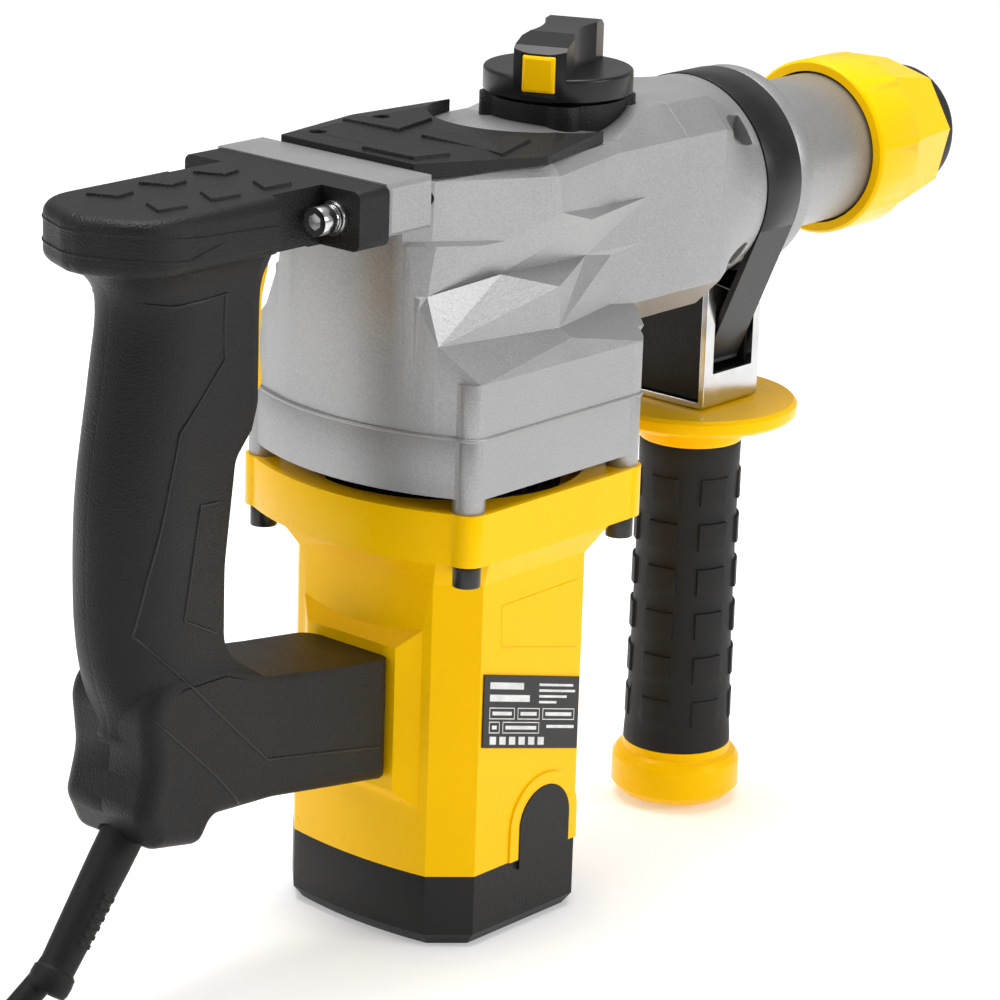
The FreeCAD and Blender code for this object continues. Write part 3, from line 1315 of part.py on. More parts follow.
def plug():
    """Contoured two-pin plug with a short neck, lying on its flat side."""
    half_h, half_w, length = 12.9, 17.5, 46.0
    neck_w = 8.5
    plan = [(0, -neck_w, 3), (9, -neck_w - 1, 6), (22, -half_w, 8), (length, -half_w, 5),
            (length, half_w, 5), (22, half_w, 8), (9, neck_w + 1, 6), (0, neck_w, 3)]
    body = rounded_face([(V(x, y, -half_h), r) for x, y, r in plan])
    body = body.extrude(V(0, 0, 2 * half_h))
    rims = [e for e in body.Edges if e.BoundBox.ZLength < 1e-6]
    body = soften(body, rims, 3.0)
    neck = revolve_z([(CORD_D / 2 + FIT, -12), (5.4, -12), (6.8, 0.5), (CORD_D / 2 + FIT, 0.5)])
    neck = place(neck, (0, 0, 0), (1, 0, 0))
    pins = [Part.makeCylinder(2.4, 19.5, V(length - 0.5, y, 0), V(1, 0, 0))
            for y in (-9.5, 9.5)]
    out = fuse([body, neck] + pins)
    before, end = V(*TAIL_ROUTE[-2]), V(*TAIL_ROUTE[-1])
    turn = math.degrees(math.atan2(end.y - before.y, end.x - before.x))
    out.rotate(V(0, 0, 0), V(0, 0, 1), turn)
    out.translate(end)
    return out


# ---- write every sub-part -------------------------------------------------
PARTS = {
    "gearbox_housing": gearbox_housing,
    "gearbox_lower_frame": lower_frame,
    "gear_carrier": gear_carrier,
    "top_cover_plate": top_cover,
    "small_screws": small_screws,
    "barrel_housing": barrel_housing,
    "barrel_screws": barrel_screws,
    "motor_housing": motor_housing,
    "end_cap": end_cap,
    "flange_screws": flange_screws,
    "name_plate": name_plate,
    "stator_core": stator_core,
    "field_coils": field_coils,
    "brush_holders": lambda: brush_pair(6.0, 34.0, 46.0, 14.5, 30.0, 4.0),
    "carbon_brushes": lambda: brush_pair(4.0, 36.0, 44.0, 12.3, 27.0),
    "armature_bearings": armature_bearings,
    "gear_bearings": gear_bearings,
    "spindle_bearings": spindle_bearings,
    "armature_shaft": armature_shaft,
    "armature_core": armature_core,
    "armature_windings": armature_windings,
    "commutator": commutator,
    "cooling_fan": cooling_fan,
    "crankshaft": crankshaft,
    "crank_gear": crank_gear,
    "layshaft": layshaft,
    "lay_gear": lay_gear,
    "hammer_cylinder": hammer_cylinder,
    "bevel_ring_gear": bevel_ring_gear,
    "shift_collar": shift_collar,
    "tool_spindle": tool_spindle,
    "lock_balls": lock_balls,
    "nose_cap": nose_cap,
    "chuck_sleeve": chuck_sleeve,
    "chuck_spring": chuck_spring,
    "piston": piston,
    "wrist_pin": wrist_pin,
    "connecting_rod": connecting_rod,
    "striker": striker,
    "impact_bolt": impact_bolt,
    "mode_base": mode_base,
    "mode_knob": mode_knob,
    "mode_button": mode_button,
    "handle_bar": handle_bar,
    "handle_bar_screws": bar_screws,
    "handle_shell_right": lambda: handle_half(-1),
    "handle_shell_left": lambda: handle_half(1),
    "handle_shell_screws": shell_screws,
    "switch_module": switch_module,
    "trigger": trigger,
    "strain_relief": strain_relief,
    "power_cord": power_cord,
    "cord_coil": coil_solid,
    "plug": plug,
    "strap": strap,
    "clamp_bolt": clamp_bolt,
    "clamp_bracket": clamp_bracket,
    "clamp_saddle": clamp_saddle,
    "grip_core": grip_core,
    "grip_rubber": grip_rubber,
}

for name, make in PARTS.items():
    shape = make()
    if not shape.isValid() or any(not s.isClosed() for s in shape.Shells):
        print("check", name, shape.isValid())
    save(name, shape)
print(len(PARTS), "sub-parts")
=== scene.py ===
import json
import math
import bpy
import bmesh
from mathutils import Matrix, Vector
from mathutils.bvhtree import BVHTree


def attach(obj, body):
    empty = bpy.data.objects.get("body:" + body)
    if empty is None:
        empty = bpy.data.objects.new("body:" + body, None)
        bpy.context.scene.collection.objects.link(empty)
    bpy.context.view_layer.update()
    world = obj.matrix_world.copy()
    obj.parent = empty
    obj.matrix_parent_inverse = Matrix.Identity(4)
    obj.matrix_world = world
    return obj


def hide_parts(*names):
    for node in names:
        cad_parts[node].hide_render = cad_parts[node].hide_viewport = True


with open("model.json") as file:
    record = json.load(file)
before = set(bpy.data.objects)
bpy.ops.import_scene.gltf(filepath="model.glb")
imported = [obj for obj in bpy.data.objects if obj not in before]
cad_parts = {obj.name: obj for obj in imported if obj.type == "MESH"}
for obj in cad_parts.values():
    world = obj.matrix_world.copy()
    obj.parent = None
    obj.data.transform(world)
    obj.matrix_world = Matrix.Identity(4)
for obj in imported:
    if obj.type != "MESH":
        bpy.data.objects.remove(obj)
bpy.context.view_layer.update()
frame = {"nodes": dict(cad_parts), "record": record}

NODES = frame["nodes"]
MM = 0.001

# ---------------------------------------------------------------- camera
CAM_POS = Vector((-0.89925, -0.78546, 0.50266))
CAM_RIGHT = Vector((0.65358985, -0.75618192, 0.0317681))
CAM_UP = Vector((0.20462656, 0.21696397, 0.95449181))
CAM_BACK = Vector((-0.72866198, -0.61734556, 0.29654035))
LENS = 144.82


def make_camera():
    data = bpy.data.cameras.new("camera")
    data.lens = LENS
    data.sensor_width = 36.0
    data.sensor_fit = "HORIZONTAL"
    data.clip_start = 0.05
    data.clip_end = 60.0
    cam = bpy.data.objects.new("camera", data)
    rot = Matrix((CAM_RIGHT, CAM_UP, CAM_BACK)).transposed().to_4x4()
    cam.matrix_world = Matrix.Translation(CAM_POS) @ rot
    bpy.context.scene.collection.objects.link(cam)
    bpy.context.scene.camera = cam


make_camera()


# ---------------------------------------------------------------- cord
CORD_D = 0.008
CORD_EXIT = (-0.14879, 0.0, 0.04359)
LOW_Z = 0.0041               # centre of the cord in the lower layer
HIGH_Z = 0.0122              # and in the upper layer
COIL_CENTRE = (-0.2526, -0.0135)
COIL_R_OUT = 0.056
COIL_R_IN = 0.0317
TURN_START = 52.0            # degrees, where the lead meets the coil
TURN_TOTAL = 2368.0          # degrees wound, down layer in, up layer out
POINTS_PER_TURN = 16
LAYER_STEP_AT = 0.46         # share of the winding where the cord climbs to the upper layer
LAYER_STEP_LONG = 0.08
LEAD = [CORD_EXIT, (-0.179, 0.0, LOW_Z)]
TAIL = [(-0.2398, -0.0732, 0.0127), (-0.2174, -0.0790, 0.0131)]


def smooth(t):
    """Eased step from 0 to 1."""
    t = min(max(t, 0.0), 1.0)
    return t * t * (3 - 2 * t)


def coil_points():
    """Two flat layers of turns: in along the floor, then out on top."""
    n = int(TURN_TOTAL / 360 * POINTS_PER_TURN)
    pts = []
    for i in range(n + 1):
        t = i / n
        a = math.radians(TURN_START + TURN_TOTAL * t)
        inward = 1 - abs(2 * t - 1)
        r = COIL_R_OUT - (COIL_R_OUT - COIL_R_IN) * inward
        z = LOW_Z + (HIGH_Z - LOW_Z) * smooth((t - LAYER_STEP_AT) / LAYER_STEP_LONG)
        pts.append((COIL_CENTRE[0] + r * math.cos(a), COIL_CENTRE[1] + r * math.sin(a), z))
    return pts


def make_cord():
    curve = bpy.data.curves.new("mains_cord", "CURVE")
    curve.dimensions = "3D"
    curve.bevel_depth = 1.0  # each point's radius is then the cord's own
    curve.bevel_resolution = 6
    curve.resolution_u = 6
    curve.use_fill_caps = True
    pts = LEAD + coil_points() + TAIL
    spline = curve.splines.new("NURBS")
    spline.points.add(len(pts) - 1)
    for p, co in zip(spline.points, pts):
        p.co = (*co, 1.0)
        p.radius = CORD_D / 2
    spline.order_u = 3
    spline.use_endpoint_u = True
    obj = bpy.data.objects.new("mains_cord", curve)
    bpy.context.scene.collection.objects.link(obj)
    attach(obj, "housing")
    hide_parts("power_cord", "cord_coil")
    return obj


cord = make_cord()


# ---------------------------------------------------------------- materials
class Nodes:
    """Small helper that adds and links shader nodes in one material."""

    def __init__(self, name, slot_color):
        self.mat = bpy.data.materials.new(name)
        self.mat.use_nodes = True
        self.mat.diffuse_color = (*slot_color, 1)
        self.tree = self.mat.node_tree
        self.tree.nodes.clear()
        self.out = self.tree.nodes.new("ShaderNodeOutputMaterial")
        self.bsdf = self.tree.nodes.new("ShaderNodeBsdfPrincipled")
        self.link(self.bsdf.outputs[0], self.out.inputs["Surface"])
        self.coords = self.tree.nodes.new("ShaderNodeTexCoord")

    def link(self, a, b):
        self.tree.links.new(a, b)

    def node(self, kind, **values):
        n = self.tree.nodes.new(kind)
        for key, value in values.items():
            if key in n.inputs:
                n.inputs[key].default_value = value
            else:
                setattr(n, key, value)
        return n

    def noise(self, scale, detail=3.0, rough=0.5, stretch=None):
        src = self.coords.outputs["Object"]
        if stretch:
            m = self.node("ShaderNodeMapping")
            m.inputs["Scale"].default_value = stretch
            self.link(src, m.inputs["Vector"])
            src = m.outputs[0]
        n = self.node("ShaderNodeTexNoise", Scale=scale, Detail=detail, Roughness=rough)
        self.link(src, n.inputs["Vector"])
        return n.outputs["Fac"]

    def cells(self, scale):
        n = self.node("ShaderNodeTexVoronoi", Scale=scale)
        self.link(self.coords.outputs["Object"], n.inputs["Vector"])
        return n.outputs["Distance"]

    def ramp(self, fac, stops):
        n = self.node("ShaderNodeValToRGB")
        els = n.color_ramp.elements
        while len(els) < len(stops):
            els.new(0.5)
        for e, (pos, col) in zip(els, stops):
            e.position = pos
            e.color = (*col, 1) if hasattr(col, "__len__") else (col, col, col, 1)
        self.link(fac, n.inputs[0])
        return n.outputs[0]

    def math(self, op, a, b=None):
        n = self.node("ShaderNodeMath", operation=op)
        for i, v in enumerate((a, b)):
            if v is None:
                continue
            if hasattr(v, "is_linked"):
                self.link(v, n.inputs[i])
            else:
                n.inputs[i].default_value = v
        return n.outputs[0]

    def bump(self, height, strength, distance, after=None):
        n = self.node("ShaderNodeBump", Strength=strength, Distance=distance)
        self.link(height, n.inputs["Height"])
        if after is not None:
            self.link(after, n.inputs["Normal"])
        return n.outputs[0]

    def finish(self, color=None, rough=None, normal=None, **plain):
        if color is not None:
            if hasattr(color, "is_linked"):
                self.link(color, self.bsdf.inputs["Base Color"])
            else:
                self.bsdf.inputs["Base Color"].default_value = (*color, 1)
        if rough is not None:
            if hasattr(rough, "is_linked"):
                self.link(rough, self.bsdf.inputs["Roughness"])
            else:
                self.bsdf.inputs["Roughness"].default_value = rough
        if normal is not None:
            self.link(normal, self.bsdf.inputs["Normal"])
        for key, value in plain.items():
            self.bsdf.inputs[key.replace("_", " ")].default_value = value
        return self.mat


def silver_paint(name, tone=0.345, grain=900):
    """Silver paint over a casting: fine sparkle grain, faint mottling."""
    n = Nodes(name, (tone, tone, tone))
    fine = n.noise(grain * 2.2, 2.0)
    broad = n.noise(22, 3.0)
    color = n.ramp(n.math("ADD", n.math("MULTIPLY", fine, 0.6), n.math("MULTIPLY", broad, 0.4)),
                   [(0.32, (tone * 0.84, tone * 0.84, tone * 0.85)),
                    (0.62, (tone * 1.12, tone * 1.12, tone * 1.12))])
    rough = n.ramp(broad, [(0.3, 0.36), (0.7, 0.46)])
    normal = n.bump(n.noise(grain, 3.0), 0.22, 0.0004)
    normal = n.bump(n.noise(60, 2.0), 0.10, 0.0015, normal)
    return n.finish(color, rough, normal, Metallic=0.62)


def bare_alu(name, tone=0.62, stretch=(3, 60, 60)):
    n = Nodes(name, (tone, tone, tone))
    brush = n.noise(40, 4.0, 0.6, stretch)
    color = n.ramp(brush, [(0.3, (tone * 0.9,) * 3), (0.7, (tone * 1.08,) * 3)])
    rough = n.ramp(brush, [(0.3, 0.22), (0.7, 0.36)])
    return n.finish(color, rough, n.bump(brush, 0.12, 0.0003), Metallic=0.95)


def steel(name, tone=0.55, rough=0.25, warm=0.0):
    n = Nodes(name, (tone, tone, tone))
    mottle = n.noise(140, 4.0)
    c0 = (tone * (0.88 + warm), tone * 0.88, tone * (0.88 - warm))
    c1 = (tone * (1.06 + warm), tone * 1.05, tone * (1.05 - warm))
    color = n.ramp(mottle, [(0.3, c0), (0.7, c1)])
    r = n.ramp(mottle, [(0.3, rough * 0.8), (0.7, rough * 1.3)])
    return n.finish(color, r, n.bump(n.noise(600, 2.0), 0.08, 0.0002), Metallic=1.0)


def black_oxide(name, tone=0.03, rough=0.38):
    n = Nodes(name, (tone, tone, tone))
    mottle = n.noise(90, 4.0)
    color = n.ramp(mottle, [(0.3, (tone * 0.7,) * 3), (0.75, (tone * 1.5,) * 3)])
    r = n.ramp(mottle, [(0.3, rough * 0.85), (0.7, rough * 1.2)])
    return n.finish(color, r, n.bump(n.noise(500, 2.0), 0.10, 0.0002), Metallic=0.5)


def yellow_plastic(name, grain=0.10):
    n = Nodes(name, (0.9, 0.52, 0.01))
    broad = n.noise(16, 3.0)
    color = n.ramp(broad, [(0.3, (0.99, 0.545, 0.0005)), (0.7, (1.0, 0.580, 0.0005))])
    rough = n.ramp(n.noise(70, 4.0), [(0.3, 0.26), (0.7, 0.36)])
    normal = n.bump(n.noise(1500, 2.0), grain, 0.0002)
    return n.finish(color, rough, normal, **{"Specular_IOR_Level": 0.34,
                                                "Specular_Tint": (1.0, 0.70, 0.12, 1)})


def black_grain(name, tone=0.006, cell=1500, strength=0.5, rough=0.46):
    """Moulded plastic with a fine leather grain."""
    n = Nodes(name, (tone, tone, tone))
    broad = n.noise(25, 3.0)
    color = n.ramp(broad, [(0.3, (tone * 0.85,) * 3), (0.7, (tone * 1.2, tone * 1.2, tone * 1.25))])
    grain = n.math("ADD", n.cells(cell), n.math("MULTIPLY", n.noise(cell * 0.8, 3.0), 0.6))
    r = n.ramp(broad, [(0.3, rough * 0.9), (0.7, rough * 1.12)])
    return n.finish(color, r, n.bump(grain, strength, 0.0003), **{"Specular_IOR_Level": 0.26})


def black_plain(name, tone=0.006, rough=0.32, grain=0.05):
    n = Nodes(name, (tone, tone, tone))
    broad = n.noise(30, 3.0)
    color = n.ramp(broad, [(0.3, (tone * 0.9,) * 3), (0.7, (tone * 1.15,) * 3)])
    r = n.ramp(broad, [(0.3, rough * 0.85), (0.7, rough * 1.15)])
    return n.finish(color, r, n.bump(n.noise(900, 2.0), grain, 0.0002),
                    **{"Specular_IOR_Level": 0.35})


def metal_color(name, c, rough=0.3, metallic=1.0):
    n = Nodes(name, c)
    mottle = n.noise(200, 4.0)
    color = n.ramp(mottle, [(0.3, tuple(x * 0.85 for x in c)), (0.7, tuple(min(1, x * 1.15) for x in c))])
    r = n.ramp(mottle, [(0.3, rough * 0.8), (0.7, rough * 1.25)])
    return n.finish(color, r, n.bump(n.noise(700, 2.0), 0.1, 0.0002), Metallic=metallic)


MATS = {
    "cast": silver_paint("cast_aluminium_paint"),
    "alu": bare_alu("machined_aluminium"),
    "yellow": yellow_plastic("yellow_plastic"),
    "grain": black_grain("black_leather_grain"),
    "black": black_plain("black_plastic"),
    "cap": black_grain("black_cap_grain", 0.009, 1900, 0.35, 0.42),
    "rubber": black_grain("black_rubber", 0.008, 2600, 0.25, 0.55),
    "bright": steel("bright_steel", 0.62, 0.20),
    "dark_steel": steel("ground_steel", 0.35, 0.28),
    "strap": black_oxide("black_steel", 0.018, 0.30),
    "screw_black": black_oxide("black_oxide", 0.03, 0.36),
    "nose": black_plain("nose_rubber", 0.014, 0.5, 0.2),
    "copper": metal_color("copper_winding", (0.55, 0.25, 0.12), 0.35),
    "brass": metal_color("brass", (0.55, 0.40, 0.17), 0.3),
    "laminated": steel("laminated_steel", 0.28, 0.4),
    "label": black_plain("label_plate", 0.008, 0.22, 0.02),
    "print": metal_color("label_ink", (0.72, 0.72, 0.72), 0.5, 0.0),
    "groove": black_plain("handle_groove", 0.006, 0.28, 0.05),
}

SLOT_MAT = {
    "cast_aluminium": "cast", "machined_aluminium": "alu", "yellow_plastic": "yellow",
    "black_plastic": "grain", "black_smooth": "black", "rubber_black": "rubber",
    "bright_steel": "bright", "black_steel": "screw_black", "dark_steel": "dark_steel",
    "copper": "copper", "laminated_steel": "laminated", "bronze": "brass",
    "label_black": "label",
}
NODE_MAT = {
    "end_cap": "cap", "strap": "strap", "nose_cap": "nose", "plug": "black",
    "clamp_saddle": "grain", "cooling_fan": "black", "handle_bar": "cast",
}
# edge rounding in millimetres for carried-over nodes
BEVEL = {
    "gearbox_housing": 0.7, "gearbox_lower_frame": 0.6, "barrel_housing": 0.8,
    "motor_housing": 1.0, "end_cap": 0.8, "top_cover_plate": 0.5, "handle_bar": 0.5,
    "chuck_sleeve": 0.6, "nose_cap": 0.8, "mode_base": 0.5, "mode_knob": 0.5,
    "mode_button": 0.4, "clamp_bracket": 0.3, "clamp_saddle": 0.6, "strap": 0.3,
    "grip_core": 0.6, "grip_rubber": 0.5, "trigger": 0.5, "handle_shell_left": 0.8,
    "handle_shell_right": 0.8, "strain_relief": 0.3, "plug": 0.4, "flange_screws": 0.3,
    "handle_bar_screws": 0.3, "barrel_screws": 0.3, "small_screws": 0.2,
    "cooling_fan": 0.2, "name_plate": 0.2,
}


def dress_cad_nodes():
    """Gives each visible CAD node its material and its rounded edges."""
    slots = {s["node"]: s["material_slot"] for s in frame["record"]["subparts"]}
    for name, obj in NODES.items():
        if obj.hide_render:
            continue
        mat = MATS[NODE_MAT.get(name, SLOT_MAT[slots[name]])]
        obj.data.materials.clear()
        obj.data.materials.append(mat)
        for poly in obj.data.polygons:
            poly.material_index = 0
        if name in BEVEL:
            weld = obj.modifiers.new("weld", "WELD")
            weld.merge_threshold = 1e-6
            bev = obj.modifiers.new("bevel", "BEVEL")
            bev.width = BEVEL[name] * MM
            bev.segments = 2
            bev.limit_method = "ANGLE"
            bev.angle_limit = math.radians(28)
            bev.miter_outer = "MITER_ARC"
            bev.harden_normals = False


dress_cad_nodes()


# ---------------------------------------------------------------- details
# Search rays start this far out, in metres: beside the part, round it and above it.
SIDE_START = 0.12
ROUND_START = 0.2
TOP_START = 0.30
BEAD_SIDES = 8
PAD_ROOT = 0.6               # millimetres a pad reaches into the surface below it
PAD_EDGE = 0.25              # millimetres of rounding on a pad's edges


def node_tree(*names):
    """Search tree over the surfaces of CAD nodes, in frame coordinates."""
    verts, polys = [], []
    for name in names:
        obj = NODES[name]
        base = len(verts)
        verts += [obj.matrix_world @ v.co for v in obj.data.vertices]
        polys += [[base + i for i in p.vertices] for p in obj.data.polygons]
    return BVHTree.FromPolygons(verts, polys)


def dense(points, step=2.0):
    """Points along a polyline about step apart, in the same units."""
    out = []
    for a, b in zip(points, points[1:]):
        n = max(1, round(math.dist(a, b) / step))
        out += [tuple(p + (q - p) * i / n for p, q in zip(a, b)) for i in range(n)]
    return out + [tuple(points[-1])]


def side_hits(tree, points_xz, side):
    """Where lines seen square to a side meet the surface; side is -1 or 1."""
    hits = []
    for x, z in dense(points_xz):
        start = Vector((x * MM, side * SIDE_START, z * MM))
        hit, normal, _, _ = tree.ray_cast(start, Vector((0, -side, 0)))
        if hit is not None:
            hits.append((hit, normal))
    return hits


def plan_hits(tree, z, centre_x, a0, a1, steps):
    """Points round a shape at one height, found from outside inwards."""
    hits = []
    for i in range(steps + 1):
        a = math.radians(a0 + (a1 - a0) * i / steps)
        way = Vector((math.cos(a), math.sin(a), 0))
        start = Vector((centre_x * MM, 0, z * MM)) + way * ROUND_START
        hit, normal, _, _ = tree.ray_cast(start, -way)
        if hit is not None:
            hits.append((hit, normal))
    return hits


def place_piece(obj, body, mat):
    """Links a piece, gives it its material, and ties it to a body."""
    bpy.context.scene.collection.objects.link(obj)
    obj.data.materials.append(MATS[mat])
    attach(obj, body)
    return obj


def bead(name, runs, radius, sink, mat, body="housing", closed=False):
    """Thin rounded line laid on a surface, one tube per run of hits."""
    bm = bmesh.new()
    for hits in runs:
        if len(hits) < 3:
            continue
        rings = []
        count = len(hits)
        for i, (p, n) in enumerate(hits):
            q = hits[(i + 1) % count][0] if closed or i + 1 < count else p
            o = hits[i - 1][0] if closed or i > 0 else p
            way = (q - o).normalized()
            side = way.cross(n).normalized()
            up = side.cross(way)
            mid = p - n * (sink * MM)
            r = radius * MM
            if not closed:
                r *= min(1.0, 0.25 + 0.3 * min(i, count - 1 - i))
            rings.append([bm.verts.new(mid + side * (r * math.cos(a)) + up * (r * math.sin(a)))
                          for a in (2 * math.pi * k / BEAD_SIDES for k in range(BEAD_SIDES))])
        pairs = list(zip(rings, rings[1:]))
        if closed:
            pairs.append((rings[-1], rings[0]))
        for ra, rb in pairs:
            for k in range(BEAD_SIDES):
                m = (k + 1) % BEAD_SIDES
                bm.faces.new((ra[k], ra[m], rb[m], rb[k]))
        if not closed:
            bm.faces.new(rings[0][::-1])
            bm.faces.new(rings[-1])
    for f in bm.faces:
        f.smooth = True
    bmesh.ops.recalc_face_normals(bm, faces=bm.faces)
    me = bpy.data.meshes.new(name)
    bm.to_mesh(me)
    bm.free()
    return place_piece(bpy.data.objects.new(name, me), body, mat)


def raised_pads(name, outlines, tree, height, mat, body="housing", inset=0.7):
    """Flat-topped pads with sloped rims standing on an upward surface."""
    bm = bmesh.new()
    for outline in outlines:
        cx = sum(p[0] for p in outline) / len(outline)
        cy = sum(p[1] for p in outline) / len(outline)
        low, high = [], []
        for x, y in outline:
            hit, _, _, _ = tree.ray_cast(Vector((x * MM, y * MM, TOP_START)), Vector((0, 0, -1)))
            z = hit.z
            reach = math.dist((x, y), (cx, cy))
            k = 1 - inset / reach
            low.append(bm.verts.new((x * MM, y * MM, z - PAD_ROOT * MM)))
            high.append(bm.verts.new(((cx + (x - cx) * k) * MM, (cy + (y - cy) * k) * MM,
                                      z + height * MM)))
        n = len(outline)
        for i in range(n):
            j = (i + 1) % n
            bm.faces.new((low[i], low[j], high[j], high[i]))
        bm.faces.new(high)
        bm.faces.new(low[::-1])
    bmesh.ops.recalc_face_normals(bm, faces=bm.faces)
    me = bpy.data.meshes.new(name)
    bm.to_mesh(me)
    bm.free()
    obj = place_piece(bpy.data.objects.new(name, me), body, mat)
    bev = obj.modifiers.new("bevel", "BEVEL")
    bev.width = PAD_EDGE * MM
    bev.segments = 2
    bev.limit_method = "ANGLE"
    return obj


def mirror(outline):
    """The same outline on the other side of the middle plane."""
    return [(x, -y) for x, y in outline]


# Lines on each side of the handle, x and z in millimetres.
HANDLE_LINES = [
    [(-143, 221.0), (-133, 219.3), (-114.5, 220.6), (-114.2, 201.2), (-131.3, 183.0),
     (-134.4, 170.0), (-137.7, 156.0), (-141.5, 142.1), (-145.2, 124.5), (-116.8, 96.2),
     (-95.6, 75.8), (-43.0, 66.0)],
    [(-142.0, 100.0), (-117.5, 77.0), (-104.3, 62.5)],
    [(-113.8, 159.5), (-123.3, 159.8), (-129.4, 126.8), (-114.5, 119.0)],
]
BRIDGE_LINES = [
    [(-151.0, 242.6), (-131.9, 240.4), (-98.1, 238.7)],
    [(-152.0, 236.0), (-135.7, 234.4), (-120.1, 238.0)],
]
# Lozenge pads on top of the bridge and pads on the cover plate, x and y.
BRIDGE_PADS = [
    [(-134.8, -5.0), (-127.5, -6.0), (-123.9, -10.5), (-128.1, -16.0), (-139.0, -14.5)],
    [(-113.6, -5.0), (-106.5, -6.0), (-102.7, -10.8), (-107.1, -16.0), (-118.4, -14.8)],
    [(-92.4, -5.0), (-85.5, -6.0), (-81.5, -10.4), (-86.0, -15.5), (-97.0, -14.4)],
]
COVER_PADS = [
    [(-19.0, -3.5), (-10.5, -3.5), (-8.5, -21.0), (2.5, -23.5), (3.0, -29.0), (-16.0, -34.0)],
    [(-18.4, 29.0), (-10.7, 31.0), (-10.3, 12.6), (-0.5, 13.7), (2.1, 9.5), (-18.6, 5.2)],
    [(-44.5, -3.0), (-39.5, -3.0), (-40.5, -15.5), (-33.5, -16.8), (-30.8, -27.0),
     (-44.0, -24.0)],
]
MOTOR_PANEL = [(24.3, 86.6), (-14.5, 96.1), (-15.0, 109.4), (24.4, 109.9)]


def handle_details():
    tree = node_tree("handle_shell_right", "handle_shell_left")
    runs, ridges = [], []
    for side in (-1, 1):
        runs += [side_hits(tree, line, side) for line in HANDLE_LINES]
        ridges += [side_hits(tree, line, side) for line in BRIDGE_LINES]
    ridges += [plan_hits(tree, z, -140.0, 108, 252, 40) for z in (242.6, 236.0)]
    bead("handle_groove_lines", runs, 0.55, 0.15, "groove")
    bead("bridge_ridges", ridges, 0.55, 0.2, "grain")
    pads = BRIDGE_PADS + [mirror(p) for p in BRIDGE_PADS]
    raised_pads("bridge_pads", pads, tree, 0.9, "grain")


def casting_details():
    tree = node_tree("gearbox_housing", "gearbox_lower_frame")
    loop = plan_hits(tree, 168.0, 0.0, 0, 358, 179)
    bead("casting_seam_bead", [loop], 0.8, 0.1, "cast", closed=True)
    cover = node_tree("top_cover_plate")
    raised_pads("cover_pads", COVER_PADS, cover, 1.1, "grain")


def motor_details():
    tree = node_tree("motor_housing")
    runs = [side_hits(tree, MOTOR_PANEL, side) for side in (-1, 1)]
    bead("motor_panel_lines", runs, 0.5, 0.25, "yellow")


# the plate's outer face, and the slope of its lower edge
LABEL_Y = -0.03916
LABEL_X0 = -22.7
LABEL_SLOPE = -0.2658


def label_bar(bm, x0, x1, z0, z1, y):
    """Flat print on the name plate, sheared with the plate's slant."""
    pts = [(x0, z0), (x1, z0), (x1, z1), (x0, z1)]
    lift = [(x * MM, y, (z + LABEL_SLOPE * (x - LABEL_X0)) * MM) for x, z in pts]
    verts = [bm.verts.new(p) for p in lift]
    bm.faces.new(verts)


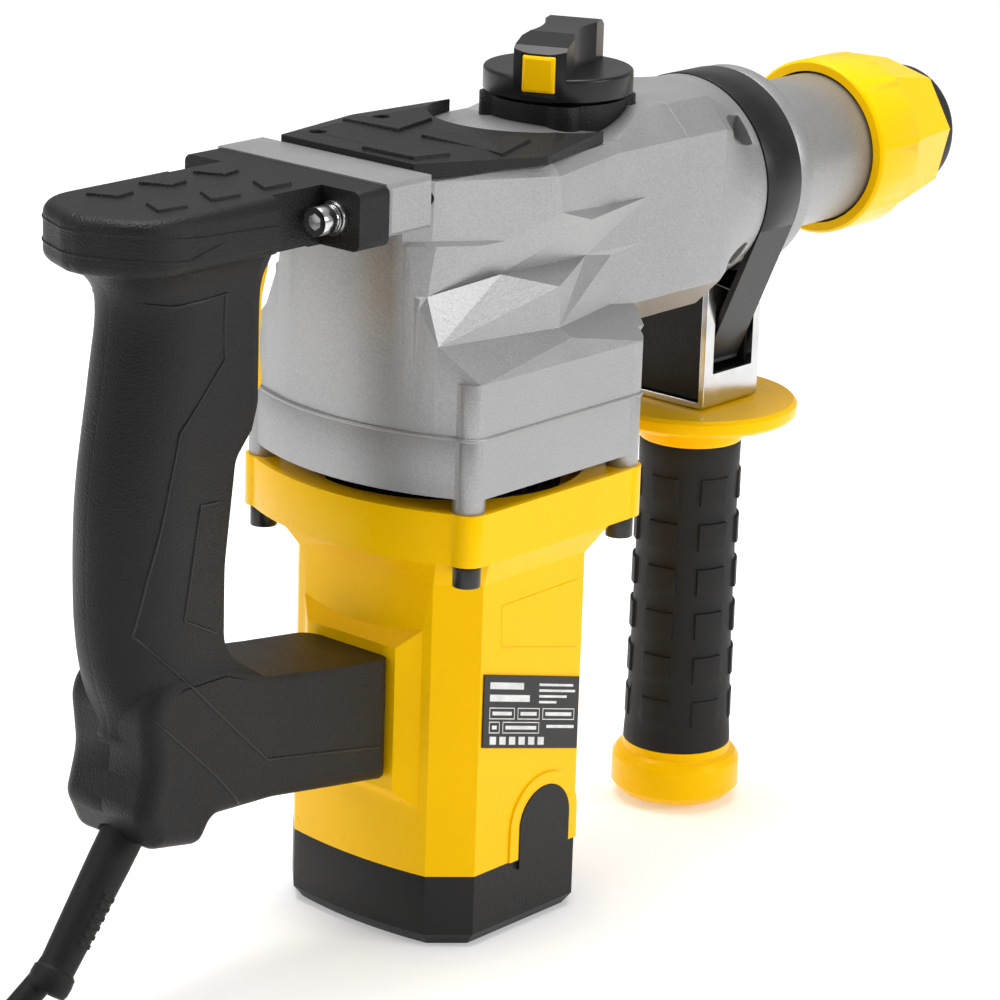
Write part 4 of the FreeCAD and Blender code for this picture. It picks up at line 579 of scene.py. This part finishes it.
def label_print():
    """Plain bars and boxes instead of lettering."""
    bm = bmesh.new()
    y = LABEL_Y
    for z, x0, x1 in ((86.0, -20, -4), (82.0, -20, -1)):
        label_bar(bm, x0, x1, z - 1.1, z + 1.1, y)
    for k, x1 in enumerate((20, 21, 17, 12)):
        z = 86.6 - 1.9 * k
        label_bar(bm, 3.5, x1, z - 0.4, z + 0.4, y)
    for z, cells in ((77.0, ((-20, -8), (-6.6, 4), (5.4, 21))), (72.4, ((-20, -15), (-13.6, 4)))):
        for x0, x1 in cells:
            for edge in ((x0, x1, z - 1.9, z - 1.6), (x0, x1, z + 1.6, z + 1.9),
                         (x0, x0 + 0.3, z - 1.6, z + 1.6), (x1 - 0.3, x1, z - 1.6, z + 1.6)):
                label_bar(bm, *edge, y)
            label_bar(bm, x0 + 1.4, x1 - 1.4, z - 0.6, z + 0.6, y)
    for k in range(6):
        x = -19.5 + 4.6 * k
        label_bar(bm, x, x + 3.0, 66.8, 69.4, y)
    label_bar(bm, 7.5, 21, 72.4, 73.4, y)
    me = bpy.data.meshes.new("label_print")
    bm.to_mesh(me)
    bm.free()
    place_piece(bpy.data.objects.new("label_print", me), "housing", "print")


handle_details()
casting_details()
motor_details()
label_print()


# ---------------------------------------------------------------- stage
def area(name, pos, target, size, power):
    """Rectangular light aimed at a point."""
    data = bpy.data.lights.new(name, "AREA")
    data.shape = "RECTANGLE"
    data.size, data.size_y = size
    data.energy = power
    obj = bpy.data.objects.new(name, data)
    obj.location = pos
    way = Vector(target) - Vector(pos)
    obj.rotation_euler = way.to_track_quat("-Z", "Y").to_euler()
    bpy.context.scene.collection.objects.link(obj)
    return obj


# floor and lights
FLOOR_HALF = 12.0
FLOOR_Z = -0.0002
LIGHT_TARGET = (0.02, 0.0, 0.13)


def make_stage():
    """Pale paper floor, plain surround and three soft lights."""
    me = bpy.data.meshes.new("floor")
    corners = [(-1, -1), (1, -1), (1, 1), (-1, 1)]
    me.from_pydata([(x * FLOOR_HALF, y * FLOOR_HALF, FLOOR_Z) for x, y in corners], [],
                   [(0, 1, 2, 3)])
    floor = bpy.data.objects.new("floor", me)
    bpy.context.scene.collection.objects.link(floor)
    n = Nodes("floor_paper", (0.9, 0.9, 0.9))
    me.materials.append(n.finish((0.86, 0.86, 0.86), 0.75, None, **{
        "Specular_IOR_Level": 0.1, "Emission_Color": (1, 1, 1, 1), "Emission_Strength": 0.27}))
    world = bpy.data.worlds.new("studio")
    world.use_nodes = True
    bg = world.node_tree.nodes["Background"]
    bg.inputs[0].default_value = (1.0, 1.0, 1.0, 1)
    bg.inputs[1].default_value = 0.40
    bpy.context.scene.world = world
    mid = LIGHT_TARGET
    area("key", (-1.6, 0.9, 1.3), mid, (0.9, 0.9), 9)
    area("right", (0.7, -2.0, 1.0), mid, (1.0, 0.8), 17)
    area("top", (0.1, 0.2, 1.9), mid, (1.4, 1.4), 39)
    bpy.context.scene.view_settings.view_transform = "Standard"


make_stage()

# ---------------------------------------------------------------- cord material
cord.data.materials.append(MATS["rubber"])
